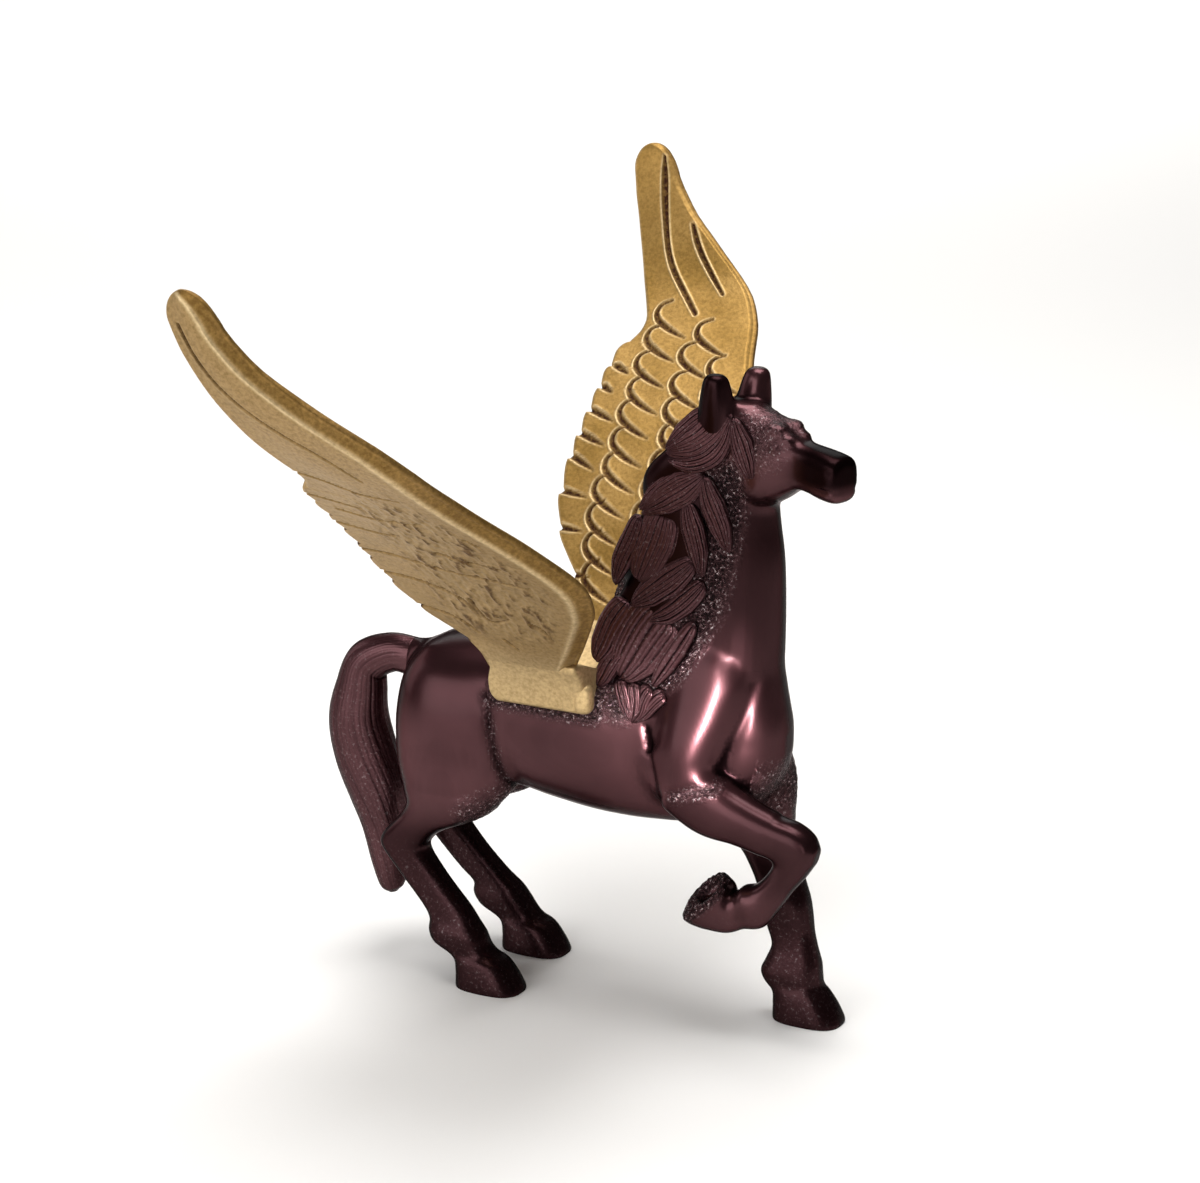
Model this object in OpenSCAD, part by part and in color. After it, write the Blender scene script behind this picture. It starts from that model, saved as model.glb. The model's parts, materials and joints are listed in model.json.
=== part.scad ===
// Winged horse ornament: a dark patinated horse, cast in pieces, with a brass saddle and wings.
// Millimetres. +X points to the head, +Y to the horse's left, +Z up, and the hooves stand on Z = 0.
// Lengths along the horse are measured from the girth line, between the saddle and the shoulder.

/* [Trunk] */
// Rump behind the girth line
trunk_back = 53; // [48:1:58]
// Chest ahead of the girth line
trunk_front = 49.5; // [47:0.5:54]
// Width of the barrel
trunk_w = 36; // [34:1:40]
// Height of the belly above the ground
belly_z = 49.5; // [48.5:0.5:54]
// Height of the back under the saddle
back_z = 93.5; // [91:0.5:97]

/* [Neck] */
// Height of the flat neck joint above the back
neck_rise = 1; // [0.5:0.5:4]
// Height of the poll between the ears
poll_z = 159.5; // [155:0.5:168]
// Front line of the neck ahead of the girth line
neck_front = 50; // [48:0.5:52]
// Back of the mane ahead of the girth line at the joint
mane_back = 4; // [4:0.5:8]
// Width of the neck at the joint
neck_root_w = 26; // [22:1:28]
// Width of the neck under the ears
neck_top_w = 15; // [12:1:18]
// Thickness of one lock of the mane
lock_t = 6; // [4:0.5:8]

/* [Head] */
// Length of the head from the poll to the end of the muzzle
head_len = 31.5; // [29:0.5:36]
// Turn of the head to the horse's right, in degrees
head_turn = 18; // [0:1:25]
// Width across the cheeks
cheek_w = 17; // [14:1:19]
// Width of the muzzle
muzzle_w = 11; // [8:0.5:13]
// Depth of the muzzle
muzzle_h = 12; // [9:0.5:14]
// Height of an ear
ear_h = 11; // [7:1:15]
// Width of an ear at its base
ear_w = 9; // [7:0.5:10]
// Distance of an ear's root from the middle of the head
ear_side = 5; // [4.5:0.5:6]

/* [Standing legs] */
// Drop of the flat leg joints below the belly
leg_joint_drop = 2; // [2:0.5:4]
// Back of the hind joints behind the girth line
hind_joint_back = 48.5; // [46:0.5:50]
// Length of the hind joints along the horse
hind_joint_len = 23.5; // [20:0.5:26]
// Width of the hind joints
hind_joint_w = 15; // [12:0.5:16]
// Distance of the hind joints from the middle plane
hind_joint_side = 11.5; // [10:0.5:13]
// Front of the fore joint ahead of the girth line
fore_joint_front = 49; // [46:0.5:50]
// Length of the fore joint along the horse
fore_joint_len = 14.5; // [12:0.5:16]
// Width of the fore joint
fore_joint_w = 13; // [11:0.5:14]
// Distance of the fore joint from the middle plane
fore_joint_side = 9; // [8:0.5:11]
// Distance between the hind hooves
hind_track = 28; // [24:1:32]
// Distance of the right hind hoof behind the girth line
hind_foot_back = 24.5; // [22:0.5:30]
// Set-back of the left hock behind the right one
left_hock_lag = 4; // [0:0.5:5]
// Distance of the standing fore hoof ahead of the girth line
fore_foot_front = 57; // [53:0.5:60]
// Distance of the standing fore hoof from the middle plane
fore_foot_side = 5; // [4:0.5:9]
// Length of a hoof
hoof_len = 18.5; // [16:0.5:20]
// Width of a hoof
hoof_w = 13; // [10:0.5:14]
// Height of a hoof
hoof_h = 7; // [5:0.5:8]
// Thickness of the cannon bones across the horse
cannon_t = 8; // [6:0.5:9]
// Height of the hocks
hock_z = 36.5; // [34:0.5:39]
// Height of the standing knee
knee_z = 29.5; // [27:0.5:33]
// Height of the fetlocks
fetlock_z = 13; // [11.5:0.5:15]

/* [Raised leg] */
// Distance of the raised knee ahead of the girth line
raised_knee_front = 61.5; // [58:0.5:65]
// Height of the raised knee
raised_knee_z = 53; // [52:0.5:56]
// Distance of the raised leg from the middle plane
raised_side = 13.5; // [13:0.5:15]
// Length of the raised forearm in front of its joint
forearm_len = 15; // [13:0.5:17]
// Fall of the raised forearm at its joint, in degrees
forearm_fall = 16; // [10:1:20]

/* [Tail] */
// Back of the tail behind the girth line
tail_back = 80; // [77:1:90]
// Height of the tail's tip
tail_tip_z = 14.5; // [9:0.5:22]
// Drop of the tail's root below the back
tail_drop = 12; // [10:0.5:14]
// Width of the tail along the horse
tail_w = 18.5; // [16:0.5:21]
// Thickness of the tail across the horse
tail_t = 14; // [12:0.5:16]

/* [Saddle] */
// Back of the saddle behind the girth line
saddle_back = 21; // [19:0.5:24]
// Length of the saddle flaps along the horse
saddle_len = 28; // [26:0.5:29]
// Thickness of the saddle over the back
saddle_t = 3; // [2.5:0.25:4]
// Drop of the flaps' lower edge below the back
flap_drop = 13; // [11:0.5:15]
// Radius of the seat that the saddle rests on
seat_r = 17; // [16.5:0.25:17.5]
// Depth of the seat below the back
seat_depth = 1; // [0.5:0.25:2]
// Radius of the round cut-out in the saddle behind the mane
pommel_r = 12; // [10:0.5:14]
// Depth of the cut-out behind the mane
pommel_depth = 4.5; // [4:0.5:6]
// Diameter of the roll at the front edge of a flap
roll_d = 5; // [4:0.5:6]
// Height of the roll between its round ends
roll_h = 3; // [1:0.5:5]

/* [Wings] */
// Length of a wing measured along its bend
wing_len = 149; // [130:1:160]
// Thickness of a wing plate
wing_t = 4.5; // [3.5:0.25:5]
// Width of a wing at its widest
wing_chord = 58; // [48:1:66]
// Width of a wing where it leaves the saddle
wing_root_chord = 26; // [22:0.5:26]
// Slope of a wing at the saddle, in degrees
root_slope = 48; // [44:1:54]
// Slope of a wing half way out, in degrees
middle_slope = 37; // [30:1:45]
// Slope of a wing's tip, in degrees
tip_slope = 82; // [60:1:86]
// Length over which the tip is rounded
tip_round = 8; // [5:0.5:12]
// Rounding of the plate's edges
wing_edge = 0.9; // [0.6:0.1:1.2]
// Width of the bevel under the leading edge
bevel_w = 4.2; // [3:0.2:6]
// Height of the bevel under the leading edge
bevel_h = 2.4; // [1.2:0.1:2.5]
// Thinning of the plate under its trailing edge
trail_thin = 1.2; // [0.4:0.1:1.5]

/* [Feathers] */
// Number of feather tips along the trailing edge
tip_count = 10; // [6:1:14]
// Depth of the notches between feather tips
tip_depth = 1.8; // [0.5:0.1:3]
// Feathers in the longest engraved row
feather_count = 11; // [8:1:13]
// Width of the engraved lines
groove_w = 2; // [1:0.1:2.6]
// Depth of the engraved lines
groove_depth = 1; // [0.4:0.1:1.2]
// Number of worn lines under a wing
worn_count = 6; // [2:1:8]
// Depth of the worn lines under a wing
worn_depth = 0.5; // [0.2:0.1:0.8]

/* [Joints] */
// Diameter of the neck spigot
neck_spigot_d = 14; // [10:1:16]
// Diameter of the hind leg spigots
hind_spigot_d = 8; // [6:0.5:9]
// Diameter of the foreleg spigots
fore_spigot_d = 6; // [4:0.5:7]
// Diameter of the tail spigot
tail_spigot_d = 5; // [3:0.5:6]
// Length of the spigots
spigot_len = 10; // [6:0.5:12]
// Thickness of a wing's tang
tang_t = 2.6; // [2:0.1:3]
// Length of a wing's tang along the horse
tang_len = 18; // [14:1:20]
// Depth of a wing's tang in the saddle
tang_depth = 6; // [4:0.5:6]
// Metal of the saddle's shoulder over the wing's thickness
shoulder_extra = 0.6; // [0.4:0.1:1]
// Diameter of the wing pins
pin_d = 1.8; // [1.2:0.1:2]
// Depth of the wing pins in the flap beyond the tang
pin_seat = 1.2; // [0.8:0.1:1.4]
// Height of the wing pins' ends above the saddle's shoulder
pin_head = 0.4; // [0.2:0.1:0.8]
// Diameter of the saddle screws
screw_d = 3; // [2:0.5:4]
// Length of the saddle screws in the trunk
screw_len = 12; // [8:1:16]
// Diameter of the saddle screws' heads
screw_head_d = 5.5; // [5:0.5:6]
// Height of the saddle screws' heads
screw_head_h = 1.5; // [1:0.25:1.75]
// Clearance between pieces that fit together
fit = 0.1; // [0.05:0.05:0.2]

/* [Hidden] */
$fn = 48;
patina = "#4a3032";
brass = "#b08d50";
// Overlap of a cut or a spigot past the face that it starts from
over = 1;
// Points round a section of the trunk, neck and head, and of a limb
trunk_sides = 24;
limb_sides = 16;

// Heights and places that follow from the sizes
leg_joint_z = belly_z - leg_joint_drop;
neck_joint_z = back_z + neck_rise;
tail_root_z = back_z - tail_drop;
flap_z = back_z - flap_drop;
neck_mid_x = (mane_back + neck_front) / 2;
neck_half = (neck_front - mane_back) / 2;
poll_x = neck_front - 10;
// The frame's origin lies below the middle of the whole ornament
nose_front = poll_x + head_len * cos(head_turn) + (muzzle_w - 3) / 2 * sin(head_turn);
frame_x = (tail_back - nose_front) / 2;

// Smooth step from 0 to 1 while x goes from a to b
function rise(x, a, b) =
    let (t = min(1, max(0, (x - a) / (b - a))))
    t * t * (3 - 2 * t);

// Table value with its corners softened over a reach of d
function soft(x, table, d) = (lookup(x - d, table) + 2 * lookup(x, table) + lookup(x + d, table)) / 4;

// One coordinate of a rounded outline, full = 2 for an oval and more for a squarer one
function bulge(c, full) = sign(c) * pow(abs(c), 2 / full);

// Closed ring of points round centre c, spanned by its half sizes along directions u and v
function ring(c, u, v, sides, full = 2) = [
    for (i = [0 : sides - 1])
        c + u * bulge(cos(360 * i / sides), full) + v * bulge(sin(360 * i / sides), full)
];

// Level ring of a standing limb, between its back and front edges
function level_ring(back, front, y, width, z, full = 2) =
    ring([(back + front) / 2, y, z], [(front - back) / 2, 0, 0], [0, width / 2, 0], limb_sides, full);

// Direction of a path at point i, given at a joint and elsewhere taken from the points beside it
function along(path, i, from, to) =
    let (
        a = path[max(i - 1, 0)],
        b = path[min(i + 1, len(path) - 1)],
        d = [b[0] - a[0], b[1] - a[1]]
    )
    i == 0 && is_list(from) ? from : i == len(path) - 1 && is_list(to) ? to : d / norm(d);

// Rings square to a path beside the middle plane, through points of [x, z, depth, width]
function path_rings(path, y, from = undef, to = undef) = [
    for (i = [0 : len(path) - 1])
        let (p = path[i], t = along(path, i, from, to))
        ring([p[0], y, p[1]], [0, p[3] / 2, 0], [-t[1], 0, t[0]] * p[2] / 2, limb_sides)
];

// Closed solid through rings that all have the same number of points
module loft(rings) {
    n = len(rings[0]);
    last = len(rings) - 1;
    polyhedron(
        [for (r = rings) each r],
        concat(
            [
                for (j = [0 : last - 1], i = [0 : n - 1])
                    let (k = (i + 1) % n)
                    [j * n + i, (j + 1) * n + i, (j + 1) * n + k, j * n + k]
            ],
            [[for (i = [0 : n - 1]) i]],
            [[for (i = [n - 1 : -1 : 0]) last * n + i]]
        )
    );
}

// Lofts of one casting joined into one skin at their own size
module casting() {
    resize([0, 0, 0])
        union() children();
}

module place() {
    translate([frame_x, 0, 0]) children();
}

module both_sides() {
    children();
    mirror([0, 1, 0]) children();
}

// Trunk from rump to chest: share of its length, share of its width, drop of the top, rise of the belly
trunk_lines = [
    [0, 0.42, 15, 13], [0.03, 0.66, 9, 8], [0.08, 0.86, 6, 4], [0.17, 1, 3, 1], [0.28, 1, 2, 1],
    [0.4, 0.97, 1.5, 1], [0.52, 1, 0.5, 0], [0.62, 1, 0, 0], [0.69, 0.96, 0, 0.5], [0.76, 0.84, 0, 1],
    [0.86, 0.74, 1, 4], [0.93, 0.64, 4, 9], [0.98, 0.46, 9, 15], [1, 0.28, 14, 20]
];
function trunk_rings() = [
    for (s = trunk_lines)
        let (
            top = back_z - s[2],
            low = belly_z + s[3],
            x = -trunk_back + s[0] * (trunk_back + trunk_front)
        )
        ring([x, 0, (top + low) / 2], [0, s[1] * trunk_w / 2, 0], [0, 0, (top - low) / 2],
             trunk_sides, 2.3)
];

// Hind leg on the left: level sections from the sole up to the joint, and the thigh above it
hind_y = hind_track / 2;
hind_back = -hind_joint_back;
hind_front = hind_back + hind_joint_len;
hind_joint_ring = level_ring(hind_back, hind_front, hind_joint_side, hind_joint_w, leg_joint_z);
// One section of the hind leg between edges given from the hoof's middle
function hind_ring(back, front, y_in, width, z, full = 2) =
    level_ring(-hind_foot_back - back, -hind_foot_back - front, hind_y - y_in, width, z, full);
function hind_leg_rings(lag) =
    let (heel = hoof_len / 2 + 0.4 * lag, toe = 0.4 * lag - hoof_len / 2)
    [
        hind_ring(heel, toe, 0, hoof_w, 0, 2.4),
        hind_ring(heel, toe + 2, 0, hoof_w - 1, hoof_h * 0.6, 2.4),
        hind_ring(heel + 1, 0.4 * lag - 4, 0, hoof_w - 2.5, hoof_h + 1),
        hind_ring(0.4 * lag + 16, 0.4 * lag + 0.5, 0, cannon_t + 2, fetlock_z - 3),
        hind_ring(0.6 * lag + 17, 0.6 * lag + 2, 0, cannon_t + 2, fetlock_z + 1),
        hind_ring(0.8 * lag + 19, 0.8 * lag + 6, 0.4, cannon_t, fetlock_z + 7),
        hind_ring(lag + 27, lag + 13.5, 0.8, cannon_t, hock_z - 9),
        hind_ring(lag + 32, lag + 19, 1, cannon_t + 1.5, hock_z - 2),
        hind_ring(lag + 30, lag + 16, 1.4, cannon_t + 2.5, hock_z + 3),
        hind_ring(0.5 * lag + 26, 0.5 * lag + 7.5, 1.9, cannon_t + 4, (hock_z + leg_joint_z) / 2 + 2),
        hind_joint_ring
    ];
function thigh_rings() = [
    hind_joint_ring,
    level_ring(hind_back - 2.5, hind_front + 6, hind_joint_side - 1, hind_joint_w + 2, leg_joint_z + 5),
    level_ring(hind_back - 5.5, hind_front + 8, hind_joint_side - 2, hind_joint_w + 3.5, leg_joint_z + 13),
    level_ring(hind_back - 5.5, hind_front + 5, hind_joint_side - 3, hind_joint_w + 2, leg_joint_z + 24),
    level_ring(hind_back - 1.5, hind_front - 1, hind_joint_side - 4.5, hind_joint_w - 3, leg_joint_z + 34)
];

// Standing left foreleg: level sections from the sole up to the joint, and the shoulder above it
fore_front = fore_joint_front;
fore_back = fore_front - fore_joint_len;
fore_joint_ring = level_ring(fore_back, fore_front, fore_joint_side, fore_joint_w, leg_joint_z);
// One section of the foreleg between edges given from the hoof's middle
function fore_ring(back, front, y_out, width, z, full = 2) =
    level_ring(fore_foot_front - back, fore_foot_front + front, fore_foot_side + y_out, width, z, full);
function fore_leg_rings() = [
    fore_ring(hoof_len / 2, hoof_len / 2, 0, hoof_w, 0, 2.4),
    fore_ring(hoof_len / 2, hoof_len / 2 - 2, 0, hoof_w - 1, hoof_h * 0.6, 2.4),
    fore_ring(hoof_len / 2, 5, 0, hoof_w - 2.5, hoof_h + 1),
    fore_ring(12, 3, 0, cannon_t + 2, fetlock_z - 2),
    fore_ring(13, 3, 0.3, cannon_t + 2, fetlock_z + 1),
    fore_ring(10.5, 1, 0.7, cannon_t, fetlock_z + 6),
    fore_ring(12.5, -0.5, 1.4, cannon_t + 1, knee_z - 4),
    fore_ring(14, -1.5, 1.8, cannon_t + 2.5, knee_z + 1),
    fore_ring(16, -4, 2.5, cannon_t + 2.5, knee_z + 7),
    fore_joint_ring
];
function shoulder_rings() = [
    fore_joint_ring,
    level_ring(fore_back - 2.5, fore_front - 1, fore_joint_side + 0.5, fore_joint_w + 1, leg_joint_z + 7),
    level_ring(fore_back - 6.5, fore_front - 2.5, fore_joint_side + 0.5, fore_joint_w + 2, leg_joint_z + 16),
    level_ring(fore_back - 6.5, fore_front - 6, fore_joint_side - 1, fore_joint_w + 1, leg_joint_z + 28)
];

// Left shoulder blade from the elbow up to its top under the neck joint
function blade_ring(back, front, y, width, drop) =
    level_ring(fore_front - back, fore_front - front, y, width, neck_joint_z - drop);
function blade_rings() = [
    blade_ring(20, 12, 10.5, 8, 37), blade_ring(23.5, 10, 10, 14.5, 32.5), blade_ring(26, 10, 9.6, 18, 25.5),
    blade_ring(27.5, 8.5, 9.4, 19, 18.5), blade_ring(28, 5.5, 9.2, 19, 10.5), blade_ring(27, 6, 9, 17.5, 4),
    blade_ring(22, 11, 8, 10, 0.5)
];

// Raised right foreleg: forearm forwards from its joint, cannon and hoof folded back below it
raised_joint_x = raised_knee_front - forearm_len;
raised_joint_z = raised_knee_z + 4.5;
raised_joint = [raised_joint_x, raised_joint_z, 11.8, 11];
raised_dir = [cos(forearm_fall), -sin(forearm_fall)];
function raised_shoulder_path() = [
    [raised_joint_x - 26, raised_joint_z + 12.5, 20, 10],
    [raised_joint_x - 18, raised_joint_z + 7.5, 19, 12],
    [raised_joint_x - 8, raised_joint_z + 2.5, 15, 12.5],
    raised_joint
];
// One section of the raised leg, placed from the knee
function from_knee(x, z, depth, width) = [raised_knee_front + x, raised_knee_z + z, depth, width];
function forearm_path() = [
    raised_joint,
    from_knee(-8, 2.6, 10.8, 10),
    from_knee(-2, 1, 10.8, 10),
    from_knee(2.5, -0.5, 8.5, 8),
    from_knee(4.5, -1, 4, 4.5)
];
function raised_cannon_path() = [
    from_knee(0.5, 1, 8, 7),
    from_knee(-1.5, -4, 9, cannon_t + 1),
    from_knee(-5, -9.5, 8, cannon_t),
    from_knee(-9, -15, 9.5, cannon_t + 1),
    from_knee(-13, -17.8, 12, cannon_t + 2),
    from_knee(-17.5, -19.2, 12.5, hoof_w - 3),
    from_knee(-21.5, -19.8, 14.5, hoof_w - 1),
    from_knee(-25, -19.6, hoof_len - 2, hoof_w)
];

// Neck from its joint to the poll: share of its height, set-back of the front line, advance of the back
// line, share of the change in width
neck_lines = [
    [0, 0, 0, 0], [0.12, 0, 0.5, 0.1], [0.25, -0.3, 2, 0.25], [0.37, 0, 6, 0.42],
    [0.49, 0.8, 9.5, 0.58], [0.62, 2, 13.5, 0.75], [0.74, 2.2, 15.5, 0.86], [0.85, 2, 18.5, 0.95],
    [0.94, 3.5, 23, 1.1], [1, 7, 29, 1.5]
];
function neck_z(share) = neck_joint_z + share * (poll_z - neck_joint_z);
function neck_ring(s) =
    let (
        front = neck_front - s[1],
        back = mane_back + s[2],
        w = neck_root_w + s[3] * (neck_top_w - neck_root_w)
    )
    ring([(back + front) / 2, 0, neck_z(s[0])], [(front - back) / 2, 0, 0], [0, w / 2, 0],
         trunk_sides, 2.2);
// Root of the neck in the trunk, up to the joint
function withers_ring(x, shorter, wider, drop) =
    ring([neck_mid_x + x, 0, neck_joint_z - drop], [neck_half - shorter, 0, 0],
         [0, neck_root_w / 2 + wider, 0], trunk_sides, 2.2);
function withers_rings() = [
    withers_ring(1, 7, -3, 22),
    withers_ring(0.5, 2, 1, 9),
    neck_ring(neck_lines[0])
];

// Head: sections along its own axis, which turns to the right from the poll
head_dir = [cos(head_turn), -sin(head_turn), 0];
head_side = [sin(head_turn), cos(head_turn), 0];
function head_ring(x, top, low, w, full) =
    ring([poll_x, 0, poll_z - (top + low) / 2] + head_dir * x,
         head_side * w / 2, [0, 0, (low - top) / 2], trunk_sides, full);
function head_rings() = [
    head_ring(-6, 2, 20, cheek_w - 8, 2),
    head_ring(0, 0.5, 24, cheek_w - 2.5, 2.2),
    head_ring(7, 1.5, 25, cheek_w, 2.3),
    head_ring(13, 3.5, 23.5, cheek_w - 0.5, 2.4),
    head_ring(18, 5.8, 19, cheek_w - 4, 2.5),
    head_ring(head_len - 9.5, 6.4, 6.6 + muzzle_h, muzzle_w - 1, 2.8),
    head_ring(head_len - 5, 6.9, 7.4 + muzzle_h, muzzle_w, 3),
    head_ring(head_len - 1.5, 7.8, 7.2 + muzzle_h, muzzle_w, 3),
    head_ring(head_len, 10, 5 + muzzle_h, muzzle_w - 3, 3)
];
// Ear: share of its height, and how much smaller its half sizes are along and across the head
ear_lines = [[0, -0.3, 0.3], [0.45, 0.6, 0.9], [0.85, 1.5, 1.8], [1, 2.6, 2.8]];
ear_root = 3;
ear_lean = 1.4;
ear_set = 2;
function ear_rings(side) = [
    for (s = ear_lines)
        ring([poll_x, 0, poll_z - ear_root + s[0] * ear_h] - head_dir * ear_set
             + head_side * side * (ear_side + s[0] * ear_lean),
             head_dir * (ear_w / 2 - s[1]), head_side * (ear_w / 2 - s[2]), limb_sides)
];

// Locks of the mane on the right of the neck: width, then from root to tip the distance behind the neck's
// front line, the share of the neck's height, and the distance from the middle plane
locks = [
    [11, [[10, 0.98, 3], [17, 0.94, 5], [23, 0.88, 6], [28, 0.82, 6], [31.5, 0.78, 5]]],
    [12, [[17, 0.83, 6.5], [22, 0.77, 7.5], [27, 0.71, 7.5], [31, 0.65, 7], [34.5, 0.6, 6]]],
    [10, [[13, 0.89, 6], [13, 0.77, 8], [14, 0.65, 8.5], [16, 0.52, 8.5], [18, 0.43, 8]]],
    [14, [[21, 0.68, 7.5], [25, 0.57, 8.5], [30, 0.46, 9], [34, 0.37, 8.5], [37, 0.29, 7.5]]],
    [15, [[18, 0.49, 8.5], [23, 0.35, 10], [29, 0.25, 10.5], [35, 0.15, 10.5], [40, 0.08, 9.5]]],
    [12, [[20, 0.28, 10], [24, 0.2, 11.5], [28, 0.14, 12], [32, 0.09, 12], [36, 0.07, 11.5]]]
];
// Share of a lock's full section at each of its points
lock_swell = [0.5, 0.95, 1, 0.8, 0.3];
function lock_rings(w, points) =
    let (path = [for (p = points) [neck_front - p[0], neck_z(p[1])]])
    [
        for (i = [0 : len(path) - 1])
            let (t = along(path, i))
            ring([path[i][0], -points[i][2], path[i][1]], [0, lock_swell[i] * lock_t / 2, 0],
                 [-t[1], 0, t[0]] * lock_swell[i] * w / 2, limb_sides)
    ];

// Tail: an arch from the croup and a hanging brush, through points of [x, z, depth, width]
tail_joint_x = -trunk_back - 1;
tail_mid = -tail_back + tail_w / 2;
tail_joint = [tail_joint_x, tail_root_z, 10.5, 8.5];
tail_dir = [-1, 0];
function tail_head_path() = [[tail_joint_x + 16, tail_root_z - 1, 10.5, 9], tail_joint];
function tail_path() = [
    tail_joint,
    [tail_joint_x - 7, tail_root_z + 0.2, 10.5, 8.5],
    [tail_mid + 2.5, tail_root_z - 3.5, 12, 10],
    [tail_mid + 0.2, tail_root_z - 11, tail_w - 4, tail_t - 2],
    [tail_mid - 0.75, tail_root_z - 19.5, tail_w - 1.5, tail_t],
    [tail_mid + 1.3, tail_root_z - 29, tail_w, tail_t],
    [tail_mid + 5, tail_root_z - 39, tail_w - 1, tail_t],
    [tail_mid + 7, tail_tip_z + 20, tail_w - 4, tail_t - 2],
    [tail_mid + 8, tail_tip_z + 9, tail_w - 8, tail_t - 4],
    [tail_mid + 8.5, tail_tip_z + 2, tail_w - 11.5, tail_t - 7],
    [tail_mid + 9, tail_tip_z, tail_w - 15, tail_t - 10]
];

// Saddle: a round seat on the back, and a shoulder on each side that carries a wing
saddle_front = saddle_len - saddle_back;
saddle_mid = saddle_len / 2 - saddle_back;
seat_z = back_z - seat_depth - seat_r;
saddle_top = seat_z + seat_r + saddle_t;
shoulder_t = wing_t + shoulder_extra;
shoulder_out = [seat_r + saddle_t + 1.8, flap_z + 8.2];
slope_dir = [cos(root_slope), sin(root_slope)];
slope_normal = [-sin(root_slope), cos(root_slope)];
shoulder_in = shoulder_out + slope_normal * shoulder_t;
root_mid = (shoulder_out + shoulder_in) / 2;
wing_mid_x = saddle_mid - 0.5;
pin_x = [for (k = [-1, 1]) wing_mid_x + k * tang_len / 4];
pin_reach = tang_t / 2 + pin_seat;
screw_x = [for (k = [-1, 0]) saddle_mid + (k - 0.2) * screw_head_d * 1.6];

// Wing plate: its slope against the distance along it, and its bend as points of [y, z]
function slope_at(s) =
    root_slope + (middle_slope - root_slope) * rise(s, wing_len * 0.14, wing_len * 0.54)
    + (tip_slope - middle_slope) * pow(max(0, (s - wing_len * 0.62) / (wing_len * 0.38)), 1.1);
wing_count = 92;
wing_step = wing_len / wing_count;
function bend(i) =
    i == 0 ? [root_mid] :
    let (before = bend(i - 1), a = slope_at((i - 0.5) * wing_step))
    concat(before, [before[i - 1] + [cos(a), sin(a)] * wing_step]);
wing_bend = bend(wing_count);

// Edges of a wing drawn for a chord of drawn_chord: share of its length, advance from the root's edge
drawn_chord = 58;
lead_line = [
    [0, 0], [0.08, 6], [0.14, 11], [0.21, 15], [0.28, 16], [0.33, 14], [0.38, 10.5], [0.44, 6.5],
    [0.51, 2], [0.58, -1.5], [0.66, -4.5], [0.72, -9], [0.76, -14.5], [0.8, -21], [0.84, -27],
    [0.87, -32], [0.94, -39.5], [1, -42]
];
trail_line = [
    [0, 0], [0.07, -1], [0.12, -5], [0.17, -10], [0.23, -13], [0.3, -14.5], [0.4, -15], [0.5, -15.5],
    [0.58, -14], [0.645, -11], [0.66, -12], [0.73, -16.5], [0.82, -21.5], [0.9, -25.5], [0.96, -27.5],
    [1, -28]
];
function lead_x(r) =
    wing_mid_x + wing_root_chord / 2 + soft(r, lead_line, 0.02) * wing_chord / drawn_chord;
function trail_base(r, d) =
    wing_mid_x - wing_root_chord / 2 + soft(r, trail_line, d) * wing_chord / drawn_chord;

// Feather tips lie between these shares of the length
tips_from = 0.09;
tips_to = 0.645;
// Lobe of one feather tip, 1 in its middle and 0 at the notches
function lobe(f) = pow(abs(sin(180 * f)), 0.6);
function tip_place(r) = tip_count * (r - tips_from) / (tips_to - tips_from);
function in_tips(r) = r > tips_from + 0.001 && r < tips_to - 0.001 ? 1 : 0;
function trail_x(r) = trail_base(r, 0.008) + in_tips(r) * tip_depth * (1 - lobe(tip_place(r)));

// Point of the left wing at a distance s along its bend, at place x and height h off the plate's middle
function on_wing(s, x, h) =
    let (
        i = max(0, min(wing_count - 1, floor(s / wing_step))),
        f = s / wing_step - i,
        p = wing_bend[i] * (1 - f) + wing_bend[i + 1] * f,
        a = slope_at(s)
    )
    [x, p[0] - sin(a) * h, p[1] + cos(a) * h];
// Half the plate's thickness, its middle line, and the height of its lower face
function half_t(r) = wing_t / 2 * (1 - 0.3 * rise(r, 0.8, 1));
function middle_x(r) = (lead_x(r) + trail_x(r)) / 2;
function thinning(r) = trail_thin * rise(r, 0.03, 0.1);
function under(r, x) =
    thinning(r) * max(0, (middle_x(r) - x) / (middle_x(r) - trail_x(r))) - half_t(r);
function wing_ring(r) =
    let (
        past = max(0, 1 - (1 - r) * wing_len / tip_round),
        end = max(0.2, sqrt(1 - past * past)),
        h = half_t(r) * (0.4 + 0.6 * end),
        thin = thinning(r) * end,
        middle = middle_x(r),
        t = middle - (middle - trail_x(r)) * end,
        l = middle + (lead_x(r) - middle) * end,
        k = min(1, (l - t) / 14),
        e = wing_edge * k,
        b = k * (0.4 + 0.6 * end)
    )
    [
        for (q = [
            [t, h - 0.6 * e], [t + 0.6 * e, h], [l - 2 * e, h], [l, h - e], [l, bevel_h * b - h],
            [l - bevel_w * k, -h], [middle, -h], [t + 0.6 * e, thin - h], [t, thin + 0.6 * e - h]
        ])
            on_wing(r * wing_len, q[0], q[1])
    ];
// Shares of the length that get a ring: four to each feather tip, few between, and close ones at the tip
tip_share = 1 - tip_round / wing_len;
wing_shares = concat(
    [0, tips_from / 3, tips_from * 2 / 3],
    [for (j = [0 : 4 * tip_count]) tips_from + j * (tips_to - tips_from) / (4 * tip_count)],
    [for (j = [1 : 10]) tips_to + j * (tip_share - tips_to) / 10],
    [for (j = [1 : 7]) tip_share + (1 - tip_share) * sin(90 * j / 7)]
);

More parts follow.
